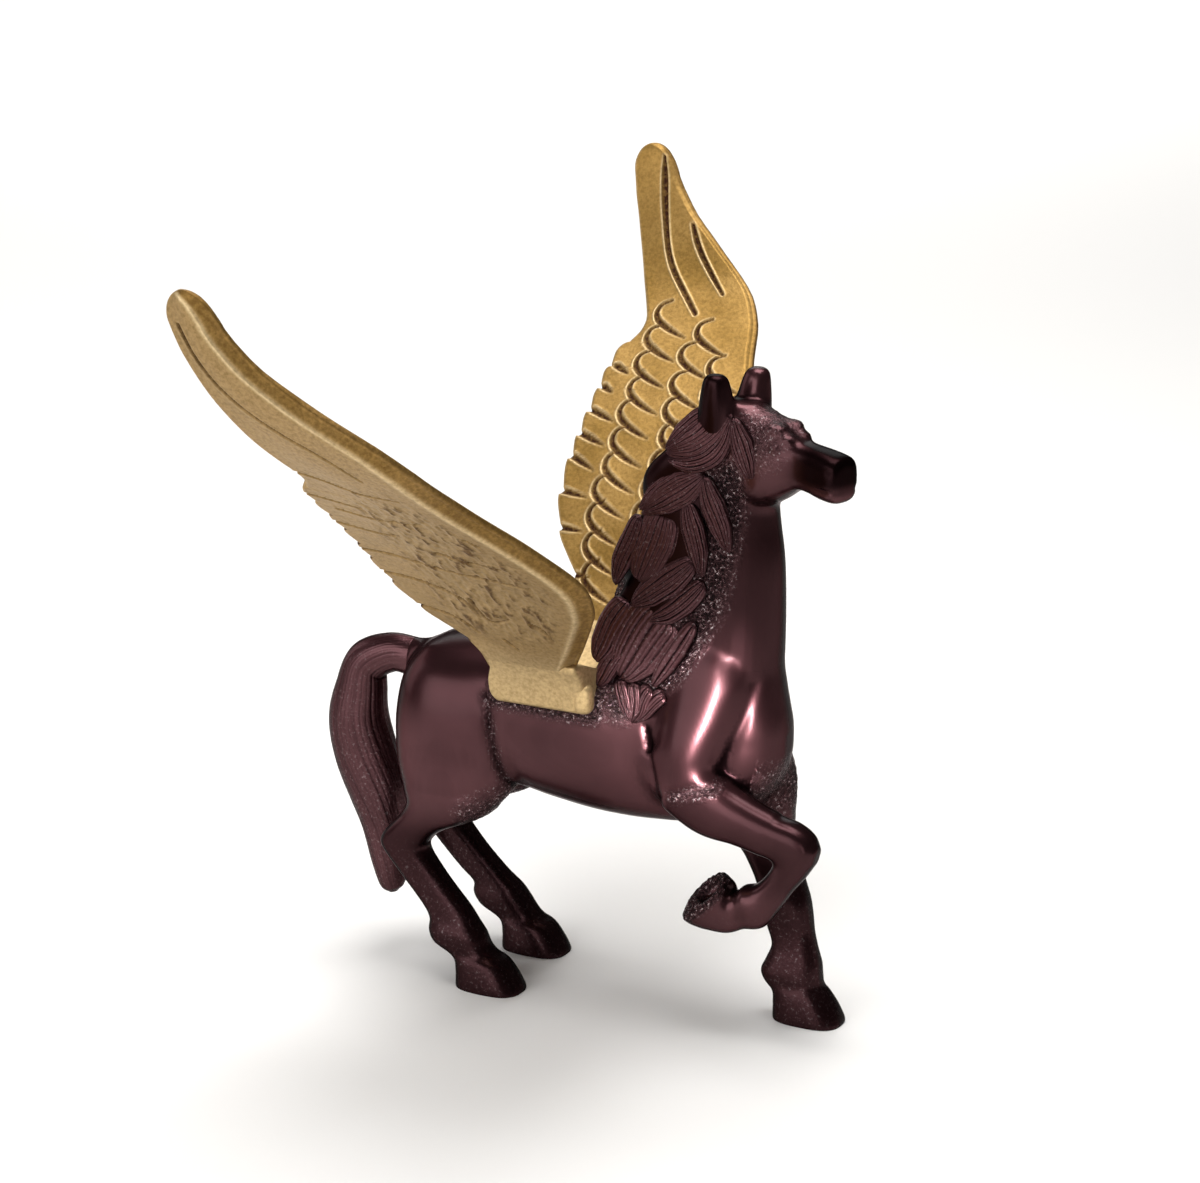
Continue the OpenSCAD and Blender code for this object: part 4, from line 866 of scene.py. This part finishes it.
print("tubes in the form:", len(FORM))

# %% [markdown]
# ## Lines and small forms
# The modeller drew the muscles' edges with a tool: a crease in front of the thigh, one behind the elbow, and
# one along the front of the shoulder. The face has brows, eyes, nostrils and a cut mouth. All of them are
# worked into the field before the skin is drawn, so they are real hollows and bumps.

# %% Creases and the face
CREASES = [
    # depth, width, then points of place and height on the horse's sides
    (0.8, 1.3, [(-25, 80), (-23.4, 76), (-22.6, 69), (-21.2, 61), (-19.6, 55)]),
    (0.7, 0.7, [(20.8, 79), (22.2, 73), (24, 67), (25.2, 58.5)]),
    (0.5, 1.8, [(46, 91), (44, 82), (41, 74), (39.4, 69)]),
    (0.9, 1.1, [(29.5, 63.6), (34, 65), (40, 66.4)]),
]
FACE = [
    # joined on or taken away, place along, beside and above the poll, radii, fillet
    (1, (7, 5, -15.4), (6, 3, 6.8), 1.2),
    (1, (12.2, 3.2, -4), (2.8, 2.2, 1.3), 1.4),
    (1, (15.6, 2.8, -6), (2, 1.8, 1), 1.2),
    (-1, (14, 7.2, -8), (2.6, 1.6, 1.5), 0.8),
    (1, (14, 5.5, -8.1), (1.4, 1.1, 0.9), 0.3),
    (-1, (30.2, 5.3, -11.6), (1, 0.9, 0.8), 0.4),
    (-1, (28.6, 6.2, -16), (5.2, 3, 0.5), 0.4),
]
HOOF_END_X = 44
FROG, FROG_RADII = (36.6, -14.6, 39), (4.6, 4.2, 4.4)


def line_distance(x, z, points):
    """Distance in the side view from a broken line: the least over its pieces, each clamped to its ends."""
    nearest = np.full(np.broadcast(x, z).shape, 1e9)
    for (ax, az), (bx, bz) in zip(points[:-1], points[1:]):
        dx, dz = bx - ax, bz - az
        t = np.clip(((x - ax) * dx + (z - az) * dz) / (dx * dx + dz * dz), 0, 1)
        nearest = np.minimum(nearest, np.hypot(x - ax - t * dx, z - az - t * dz))
    return nearest


def crease(field, first, voxel):
    """Lowers the surface along the muscles' edges: depth times a bell of the distance from each line."""
    x, y, z = axes_of(field, first, voxel)
    for depth, width, points in CREASES:
        field += depth * np.exp(-((line_distance(x, z, points) / width) ** 2)) * (np.abs(y) > 6)
    return field


def sole_side(x, y, z):
    """How far a place lies beyond the sole of the raised hoof."""
    return 0.62 * (36.5 - x) + 0.35 * (RAISED_Y - y) + 0.7 * (z - 37.2) - 0.3


def ball(axes, at, radii):
    """Rough distance from an oval ball: the scaled distance from its centre, less one, times its least radius."""
    return (np.sqrt(sum(((p - c) / r) ** 2 for p, c, r in zip(axes, at, radii))) - 1) * min(radii)


def raised_foot(field, first, voxel):
    """The creases, and the sole of the raised hoof: a plane that faces up and back, with an oval ball taken out."""
    axes = axes_of(field, first, voxel)
    beyond = np.where(axes[0] < HOOF_END_X, sole_side(*axes), -9)
    field = -soft_min(-crease(field, first, voxel), -beyond, 1.2)
    return -soft_min(-field, ball(axes, FROG, FROG_RADII), 0.5)


def face(field, first, voxel):
    """Cheeks, brows, eyes, nostrils and mouth: balls joined on or taken away, in the head's own directions."""
    x, y, z = axes_of(field, first, voxel)
    dx, dy = x - POLL[0], y - POLL[1]
    axes = (dx * head_dir[0] + dy * head_dir[1], np.abs(dx * head_side[0] + dy * head_side[1]), z - POLL[2])
    for sign, at, radii, fillet in FACE:
        field = sign * soft_min(sign * field, ball(axes, at, radii), fillet)
    return field


print("creases on each side:", len(CREASES), "forms of the face:", len(FACE))

# %% [markdown]
# ## Cutting the castings apart
# The real horse is cast in pieces and dressed smooth at the joints. Each piece takes its own box of the field,
# and its skin is cut at the joint's plane and capped there. Two numbers go with each point for the finish: how
# dark its colour is, from black patina in the hollows and painted shade, and where the modeller stippled the
# surface.

# %% Cut at the joints


def cut_and_cap(points, quads, cuts, marks):
    """Mesh arrays cut by planes: each is a point, a normal that points to what goes, and a test of which points
    it concerns. The open ends are capped and their rims kept sharp."""
    mesh = new_mesh("form", points, quads.tolist())
    paint(mesh, marks)
    form = bmesh.new()
    form.from_mesh(mesh)
    for point, normal, concerns in cuts:
        middle = np.array([f.calc_center_median() for f in form.faces])
        form.faces.ensure_lookup_table()
        chosen = [form.faces[i] for i in np.nonzero(concerns(middle))[0]]
        edges = {e for f in chosen for e in f.edges}
        corners = {v for f in chosen for v in f.verts}
        bmesh.ops.bisect_plane(form, geom=chosen + list(edges) + list(corners), plane_co=point,
                               plane_no=normal, dist=1e-4)
        form.faces.ensure_lookup_table()
        middle = np.array([f.calc_center_median() for f in form.faces])
        beyond = concerns(middle) & ((middle - point) @ np.array(normal) > 0)
        bmesh.ops.delete(form, geom=[form.faces[i] for i in np.nonzero(beyond)[0]], context="FACES")
        rim = [e for e in form.edges if e.is_boundary]
        bmesh.ops.holes_fill(form, edges=rim, sides=0)
        for e in rim:
            e.smooth = False
    bmesh.ops.recalc_face_normals(form, faces=form.faces)
    bmesh.ops.triangulate(form, faces=[f for f in form.faces if len(f.verts) > 4])
    form.to_mesh(mesh)
    form.free()
    return mesh


print("castings can be cut and capped at their joints")

# %% [markdown]
# ## Rough places, black patina and painted shade
# The modeller left a stipple round the saddle, beside the mane, at the roots of the legs and under the raised
# hoof. The colour is darkened as painted shade on the nose, the front of the neck and shoulder, the raised
# forearm and the top of the croup, and as black patina with painted shade between the locks, on the lower legs,
# the chest, the sole and along the muscles' edges. Both are worked out from a point's place, as the distance from
# a line or a step along the horse.

# %% Stipple, painted shade and grit
MANE_EDGE = [(14, 84), (27, 96), (35, 112), (37, 126), (39, 142)]
MANE_FRONT_Z, MANE_FRONT_X = [84, 96, 112, 126, 142, 156], [14, 27, 34, 36, 38, 40]
STIFLE, ELBOW, FLANK = [(-20, 52), (-28, 48)], [(30, 63), (40, 66)], [(-24, 80), (-22, 69), (-19, 54)]
GRIT_MM, GRIT_WAVES = 0.1, 40
GRIT = np.random.default_rng(7)
WAVES = GRIT.normal(size=(GRIT_WAVES, 3))
WAVES *= (GRIT.uniform(3.2, 6, GRIT_WAVES) / np.linalg.norm(WAVES, axis=1))[:, None]
PHASES = GRIT.uniform(0, 2 * math.pi, GRIT_WAVES)


def grit(p):
    """Rough casting: forty plane waves of 1 to 2 mm in mixed directions, added up and scaled to about one."""
    return np.cos(p @ WAVES.T + PHASES).sum(1) / math.sqrt(GRIT_WAVES / 2)


def near(distance, reach):
    """One at no distance, fading to nothing at the reach."""
    return np.clip(1 - distance / reach, 0, 1)


def raised_leg(x, y):
    """Whether a point is on the raised foreleg."""
    return (y < -5) & (x > 28)


def on_sole(x, y, z, start, end):
    """A smooth step across the edge of the raised hoof's sole."""
    return rise(sole_side(x, y, z), start, end) * raised_leg(x, y) * (x < HOOF_END_X) * (z < 46)


def stippled(p):
    """Where the surface is stippled: round the saddle, at the legs' roots, on the legs and beside the mane."""
    x, y, z = p.T
    a, u = (p - POLL) @ head_dir, z - POLL[2]
    beside = lambda line, reach: near(line_distance(x, z, line), reach)
    return np.clip(1.6 * np.max([
        near(np.hypot(np.maximum(np.abs(x + 7) - 14, 0), np.maximum(80.5 - z, 0)), 4) * (z > 70),
        beside(MANE_EDGE, 6.5) * (y < 0),
        0.5 * beside(STIFLE, 6), 0.4 * beside(ELBOW, 2.6), 0.15 * beside(FLANK, 2.4),
        0.05 * (1 - rise(z, 28, 40)) * np.where(raised_leg(x, y), 0.3, 1),
        0.6 * on_sole(x, y, z, -2.5, -0.5),
        0.5 * near(np.hypot(x - 50, z - 62), 11) * (y > -9),
        0.4 * near(np.hypot(a - 9, u + 7), 10) * (a > 0)], 0), 0, 1)


def painted_shade_and_darker_patina(p):
    """Where the colour is darkened: painted shade on the nose, the front of the neck and shoulder, the raised
    forearm and the top of the croup; painted shade with black patina between the locks, on the legs, the chest, the
    sole and the muscles' edges.
    """
    x, y, z = p.T
    a, u = (p - POLL) @ head_dir, z - POLL[2]
    raised = raised_leg(x, y)
    front = np.interp(z, MANE_FRONT_Z, MANE_FRONT_X)
    # The nose, fore, arm and croup marks are painted shade; the others are black patina with painted shade.
    nose = 0.92 * rise(a, 13, 24) * rise(u, -18, -14) * (z > 130)
    under_mane = 0.85 * (1 - rise(x, front - 4, front)) * rise(z, 85, 89) * (x > 3)
    legs = 0.68 * (1 - rise(z, 38, 50)) * np.where(raised, 0.2, 1)
    chest = 0.6 * near(np.hypot(x - 50, z - 60), 11) * (y > -9)
    sole = 0.8 * on_sole(x, y, z, -2.2, -0.6)
    flank = 0.5 * near(line_distance(x, z, FLANK), 2.5)
    fore = 0.45 * rise(x, 14, 22) * rise(z, 60, 70) * (1 - rise(z, 132, 144))
    arm = 0.42 * raised * rise(z, 36, 44) * (1 - rise(z, 62, 68))
    croup = 0.45 * (1 - rise(x, -26, -18)) * rise(z, 64, 78)
    root = 0.7 * near(line_distance(x, z, ELBOW), 3)
    return np.max([nose, under_mane, legs, chest, sole, flank, fore, arm, croup, root], 0)


def everywhere(p):
    """Every point."""
    return np.full(len(p), True)


print("waves of grit:", len(WAVES))

# %% [markdown]
# ## The six castings of the horse
# Each casting has its own box and voxel, the small forms that are worked into it, and its joints.

# %% Pieces of the horse
RAISED_JOINT, RAISED_SLOPE = np.array([46.5, RAISED_Y, 57.5]), math.radians(16)
RAISED_DIR = np.array([math.cos(RAISED_SLOPE), 0, -math.sin(RAISED_SLOPE)])
TAIL_JOINT = np.array([TAIL_JOINT_X, 0, 81.5])
above_legs = ((0, 0, LEG_JOINT_Z), (0, 0, 1), everywhere)
PIECES = {
    # box, voxel, small forms, cuts
    "body": ((-62, -24, 40), (62, 24, 104), 0.55, crease, [
        ((0, 0, LEG_JOINT_Z), (0, 0, -1), lambda p: p[:, 0] < 51), ((0, 0, NECK_JOINT_Z), (0, 0, 1), everywhere),
        (RAISED_JOINT, RAISED_DIR, lambda p: (p[:, 1] < -5) & (p[:, 0] > 42) & (p[:, 2] < 70)),
        (TAIL_JOINT, (-1, 0, 0), lambda p: (abs(p[:, 1]) < 9) & (p[:, 0] < -50) & (p[:, 2] > 70))]),
    "neck_and_head": ((-4, -22, 88), (80, 22, 174), 0.45, face, [((0, 0, NECK_JOINT_Z), (0, 0, -1), everywhere)]),
    "right_hind_leg": ((-64, -24, -3), (-8, -5, 52), 0.4, crease, [above_legs]),
    "left_hind_leg": ((-66, 5, -3), (-8, 24, 52), 0.4, crease, [above_legs]),
    "left_foreleg": ((26, -4, -3), (72, 18, 52), 0.4, crease, [above_legs]),
    "right_foreleg": ((28, -24, 22), (74, -5, 72), 0.4, raised_foot, [
        (RAISED_JOINT, -RAISED_DIR, lambda p: p[:, 2] > 48)]),
}
HOLLOW_MM, LIGHT_SOFTENING, BROAD_SOFTENING = 0.45, 2, 24


def horse_piece(low, high, voxel, work, cuts):
    """One casting's mesh: field, small forms, a light softening, skin, darkness of the hollows with painted shade,
    and cuts.
    """
    field, first = horse_field(low, high, voxel)
    field = soften(work(field, first, voxel), LIGHT_SOFTENING)
    broad = soften(field.copy(), BROAD_SOFTENING)
    points, quads = skin(field, first, voxel)
    i, j, k = np.clip(np.rint(points / voxel).astype(int) - first, 0, np.array(field.shape) - 1).T
    hollow = np.clip((field - broad)[i, j, k] / HOLLOW_MM, 0, 1)
    slope = np.stack(np.gradient(broad), -1)[i, j, k]
    stipple = stippled(points)
    lift = GRIT_MM * stipple * grit(points) * rise(points[:, 2], 0.8, 2)
    # The darkness joins black patina in the hollows with painted shade on the nose, neck front, forearm and croup.
    marks = {"hollow": np.maximum(hollow, painted_shade_and_darker_patina(points)), "stipple": stipple}
    points = points + slope * (lift / np.maximum(np.linalg.norm(slope, axis=1), 1e-6))[:, None]
    return cut_and_cap(points, quads, cuts, marks)


for name, plan in PIECES.items():
    finish_piece(horse_piece(*plan), name + "_casting", name, patina)

# %% [markdown]
# ## Mane
# Broad flat locks fall to the right in tiers and overlap like leaves, each combed into fine strands. A lock is
# a low arch of a section, carried along its path, and the strands are left between sharp grooves that fan out
# and run together with its width. Shorter locks cover the crest on the other side.

# %% Locks of the mane
LOCKS = [
    # half width, its shares at root and tip, strands, lift, then places and heights from root to tip
    (4, 0.3, 0.35, 9, 0.9, [(39, 158), (35, 153.5), (29.5, 149.5), (22, 147)]),
    (2.6, 0.5, 0.4, 5, 0.2, [(37, 158.5), (31.5, 156), (26.5, 152), (21.5, 147.5)]),
    (2.4, 0.4, 0.4, 5, 1.3, [(39, 156), (37.5, 151), (34, 147), (28.5, 145), (23, 145.5)]),
    (2.9, 0.35, 0.6, 6, 2, [(40, 157.5), (42, 152.5), (44, 147.5), (46, 143)]),
    (3.7, 0.35, 0.4, 9, 1.2, [(33, 143), (28.5, 139.5), (23, 136), (16.5, 131.5)]),
    (2.4, 0.5, 0.4, 4, 0.4, [(30.5, 143), (25.5, 140.5), (20, 136.5), (15.5, 132)]),
    (3, 0.4, 0.5, 6, 1.4, [(33, 142.5), (35, 137), (38, 131), (41, 124.5)]),
    (2.9, 0.5, 0.5, 6, 0.9, [(28.5, 135.5), (30, 130.5), (32, 124.5), (34, 117.5)]),
    (4.6, 0.75, 0.75, 9, 0.5, [(22.5, 132), (21, 126), (18.5, 120), (16.5, 114.5)]),
    (2.6, 0.7, 0.6, 5, 0, [(16, 130.5), (14, 124.5), (11.5, 119), (10, 112.5)]),
    (3.4, 0.5, 0.5, 7, 0.8, [(31.5, 121.5), (26.5, 117), (20.5, 112.5), (15, 108.5)]),
    (2.6, 0.6, 0.5, 4, 0.8, [(34.5, 116.5), (30.5, 112), (25.5, 108), (20, 105.5)]),
    (6.6, 0.85, 0.85, 6, 0.5, [(24, 108), (20, 102), (16.5, 96.5), (13, 90)]),
    (2.4, 0.6, 0.7, 2, 0.6, [(32.5, 106.5), (29, 100.5), (25.5, 95), (22, 89)]),
    (3.4, 0.8, 0.7, 4, 0.2, [(14, 109), (10.5, 103.5), (8, 98), (6, 93)]),
    (2.4, 0.7, 0.6, 4, 0.4, [(13, 97), (10.5, 93.5), (8.5, 90), (7, 87)]),
    (1.8, 0.9, 0.3, 3, 0.7, [(13, 89.5), (14.5, 85.5), (16, 82), (17.5, 79.5)]),
    (1.8, 0.9, 0.3, 3, 1, [(17, 89.5), (17.5, 85.5), (17.5, 82.5), (17.5, 79.5)]),
    (1.8, 0.9, 0.3, 3, 0.8, [(21.5, 89), (20, 86), (19, 82.5), (17.5, 79.5)]),
    (1.8, 0.9, 0.3, 3, 0.6, [(25.5, 88), (23, 85.5), (20.5, 82.5), (18, 79.5)]),
]
CREST_PATHS = [
    # places and heights of the short locks on the left of the crest, from root to tip
    [(40, 158.4), (35, 156), (30, 151.6), (26.5, 145.5)], [(36, 156.4), (31.4, 152), (27.4, 146.5), (24.5, 140)],
    [(28.6, 150.5), (25, 145.5), (22.6, 139), (21.5, 132)], [(23, 145), (20, 139), (18.5, 132), (18.5, 125)],
    [(20, 137), (17, 130), (15.5, 123), (16, 116)], [(17, 129), (13.5, 122), (12, 115), (12.5, 108)],
    [(13.5, 121), (10, 113), (9, 106), (10, 99)], [(10, 112), (7, 105), (6.5, 98), (8, 92)],
]
CREST = [(3, 0.5, 0.4, 6, 0.2 + 0.2 * (i % 2), path) for i, path in enumerate(CREST_PATHS)]
RINGS, OUTER, INNER = 32, 84, 14
NECK_HALF, NECK_FLARE, LOCK_H, COMB_DEPTH = 5.4, 0.122, 1.4, 0.55


def lock_tube(half_width, root, tip, strands, lift, points, side):
    """Flat leaf along a path on the neck's side. Its outer face is a low arch, tilted a little, less a sharp groove
    between every two strands; its width goes from the root's share to the full one and on to the tip's."""
    x, z = spline(points, RINGS).T
    t = np.linspace(0, 1, RINGS)[:, None]
    run = heading(x, z)
    u = np.concatenate([np.linspace(1, -1, OUTER), np.linspace(-1, 1, INNER + 2)[1:-1]])[None]
    face = np.where(np.arange(OUTER + INNER) < OUTER, 1, -1)[None]
    ends = np.sqrt(np.clip(1 - np.abs(2 * t - 1) ** 9, 0.004, 1))
    width = 1.25 * half_width * np.interp(t, [0, 0.4, 0.7, 1], [1.2 * root, 1, 0.9, 0.6 * tip]) * ends
    wander = u + 0.07 * np.sin(5 * u + 7 * lift) + 0.03 * np.sin(6 * t)
    strand = lambda n, sharp: (1 - np.abs(np.sin(np.pi * n * (wander + 1) / 2))) ** sharp * (face > 0)
    groove = np.maximum(strand(strands, 4), 0.5 * strand(2 * strands, 3))
    arch = LOCK_H * ends * np.sqrt(np.clip(1 - np.abs(u) ** 4, 0, 1))
    depth = face * arch + 0.5 * u - COMB_DEPTH * groove * ends * (0.8 + 0.2 * np.sin(9 * t + 5 * u))
    y = side * (NECK_HALF + NECK_FLARE * (POLL[2] - z)[:, None] + lift + depth)
    grid = np.stack([x[:, None] - run[:, 1:] * u * width, y, z[:, None] + run[:, :1] * u * width], -1)
    return grid[:, ::-1] if side > 0 else grid, groove[:, ::-side]


def join_tubes(tubes):
    """Points and faces of many closed tubes as one mesh."""
    points, faces, start = [], [], 0
    for tube in tubes:
        p, f = closed_tube(tube)
        points.append(p)
        faces += [[start + i for i in row] for row in f]
        start += len(p)
    return np.concatenate(points), faces


tubes, combed = zip(*[lock_tube(*row, -1) for row in LOCKS], *[lock_tube(*row, 1) for row in CREST])
points, faces = join_tubes(tubes)
# The grooves are darkened as black patina with painted shade.
array_piece("mane_locks", "neck_and_head", patina, "patinated_brass", points, faces, {
    "hollow": np.concatenate([ends_too(np.clip(1.15 * groove, 0, 1)) for groove in combed]),
    "stipple": np.full(len(points), 0.12)})

# %% [markdown]
# ## Tail
# The tail arches from the rump and falls free, then broadens and ends in a blunt point. Fine hairs are scratched
# along it over a few broad strands. It is an oval profile with a shallow groove for each hair and strand, turned a
# little as it goes along its path.

# %% Tail
TAIL_RINGS, TAIL_SIDES = 150, 288
STRANDS, HAIRS = 9, 36
x, z, depth, width = spline([
    # place, height, depth and width
    (-54, 81.5, 10.5, 8.5), (-61, 81.7, 10.5, 8.5), (-68.3, 78, 12, 10), (-70.6, 70.5, 14.5, 12),
    (-71.5, 62, 17, 14), (-69.5, 52.5, 18.2, 14), (-65.8, 42.5, 17, 13.4), (-63.8, 33.5, 13.6, 11.6),
    (-62.8, 23.5, 10.2, 9.6), (-62.3, 17, 6.8, 6.8), (-62, 14.8, 2.4, 2.6)], TAIL_RINGS).T
run = heading(x, z)
run[0] = (-1, 0)
t = np.linspace(0, 1, TAIL_RINGS)[:, None]
a = np.linspace(0, 2 * np.pi, TAIL_SIDES, endpoint=False)[None]
turn = a + 1.6 * t + 0.12 * np.sin(9 * t)
from_root = np.clip(t * 14, 0, 1)
groove = (1 - np.abs(np.sin(STRANDS / 2 * turn))) ** 2.5
fine = (1 - np.abs(np.sin(HAIRS / 2 * turn + 2 * np.sin(5 * t) + np.sin(3 * turn)))) ** 2
rib = 1 - (0.02 * groove + 0.012 * fine) * from_root
side = width[:, None] / 2 * np.cos(a) * rib
out = depth[:, None] / 2 * np.sin(a) * rib
grid = np.stack([x[:, None] - run[:, 1:] * out, side, z[:, None] + run[:, :1] * out], -1)
# The grooves of strands and hairs are darkened as black patina with painted shade.
array_piece("tail_casting", "tail", patina, "patinated_brass", *closed_tube(grid[:, ::-1]), {
    "hollow": ends_too(((0.3 * groove + 0.25 * fine) * from_root)[:, ::-1]),
    "stipple": ends_too(np.broadcast_to(np.clip(0.3 * t, 0.04, 0.14), groove.shape))})

# %% [markdown]
# ## Saddle
# The saddle is a brass plate bent over the back, thick at the two shoulders that carry the wings. There it runs up
# the wings' outer faces in a hollow curve, and below it ends in short flaps with rounded corners. A small roll
# stands at the front of each flap. Two faces, one outside and one on the horse, share a grid of places round the
# arch and along the horse, and meet in a rounded edge.

# %% Saddle
BACK_RADIUS, BACK_CENTRE_Z = 17.1, 75.5
HALF_RINGS, COLUMNS = 97, 73
SADDLE_REAR, SADDLE_FRONT = -21, 7
CORNER_R, EDGE_R, ROLL_R = 4, 1.3, 2.5


def both_halves(half):
    """A line round the whole arch from its left half."""
    return np.concatenate([half[::-1], half[1:] * [-1, 1]])


outer = both_halves(spline([
    # distance from the middle and height, from the ridge to the flap's edge
    (0, 95.5), (4, 95.1), (8, 93.8), (11.5, 91.9), (13.8, 90.9), (15.6, 91.1), (17.4, 92), (19.6, 92.9),
    (22.4, 94.6), (24.9, 94.4), (25.2, 93.1), (24.2, 91.5), (23.1, 89.5), (22.2, 87.3), (21.5, 85),
    (21, 82.8), (20.5, 80.5)], HALF_RINGS))
lean = np.linspace(0, math.acos(5 / BACK_RADIUS), HALF_RINGS)
inner = both_halves(BACK_RADIUS * np.stack([np.sin(lean), np.cos(lean)], 1) + [0, BACK_CENTRE_Z])
round_arch = np.concatenate([[0], np.cumsum(np.linalg.norm(np.diff(outer, axis=0), axis=1))])
to_flap = np.minimum(round_arch, round_arch[-1] - round_arch)[:, None]
corner = CORNER_R - np.sqrt(np.clip(CORNER_R**2 - np.clip(CORNER_R - to_flap, 0, CORNER_R) ** 2, 0, CORNER_R**2))
rear = SADDLE_REAR + corner + 1.6 * rise(np.abs(outer[:, :1]), 21.6, 24.2)
front = SADDLE_FRONT - 4.5 * np.clip(1 - (outer[:, :1] / 11) ** 2, 0, 1) - 0.5 * corner
share = (1 - np.cos(np.pi * np.linspace(0, 1, COLUMNS)[None])) / 2
x = rear + share * (front - rear)
edge = np.minimum(to_flap, np.minimum(x - rear, front - x))
round_off = np.sqrt(1 - np.clip(1 - edge / EDGE_R, 0, 1) ** 2)[..., None]
middle, half = (outer + inner)[:, None] / 2, (outer - inner)[:, None] / 2
yz = np.stack([middle + half * round_off, middle - half * round_off])
points = np.concatenate([np.broadcast_to(x, yz.shape[:3])[..., None], yz], -1).reshape(-1, 3)
i, j = np.meshgrid(np.arange(len(x) - 1), np.arange(COLUMNS - 1), indexing="ij")
at = i * COLUMNS + j
quads = np.stack([at, at + 1, at + COLUMNS + 1, at + COLUMNS], 2).reshape(-1, 4)
faces = quads.tolist() + (quads[:, ::-1] + x.size).tolist()
h = np.linspace(-1, 1, 24)
swell = ROLL_R * np.sqrt(np.clip(1 - h**4, 0.002, 1))[:, None]
roll = ovals(np.stack([0 * h + 5.8, 0 * h + 19.8, 85 + 4 * h], 1), swell * [1, 0, 0], swell * [0, 1, 0], 2, 32)
rolls, roll_faces = join_tubes([roll, roll[:, ::-1] * MIRROR])
faces += [[len(points) + k for k in row] for row in roll_faces]
mesh = new_mesh("saddle_casting", np.concatenate([points, rolls]), faces)
form = bmesh.new()
form.from_mesh(mesh)
bmesh.ops.remove_doubles(form, verts=form.verts, dist=1e-4)
bmesh.ops.recalc_face_normals(form, faces=form.faces)
form.to_mesh(mesh)
form.free()
paint(mesh, {"engraved": np.zeros(len(mesh.vertices)), "polish_and_painted_highlight": np.full(len(mesh.vertices), 0.5)})
finish_piece(mesh, "saddle_casting", "saddle", brass)
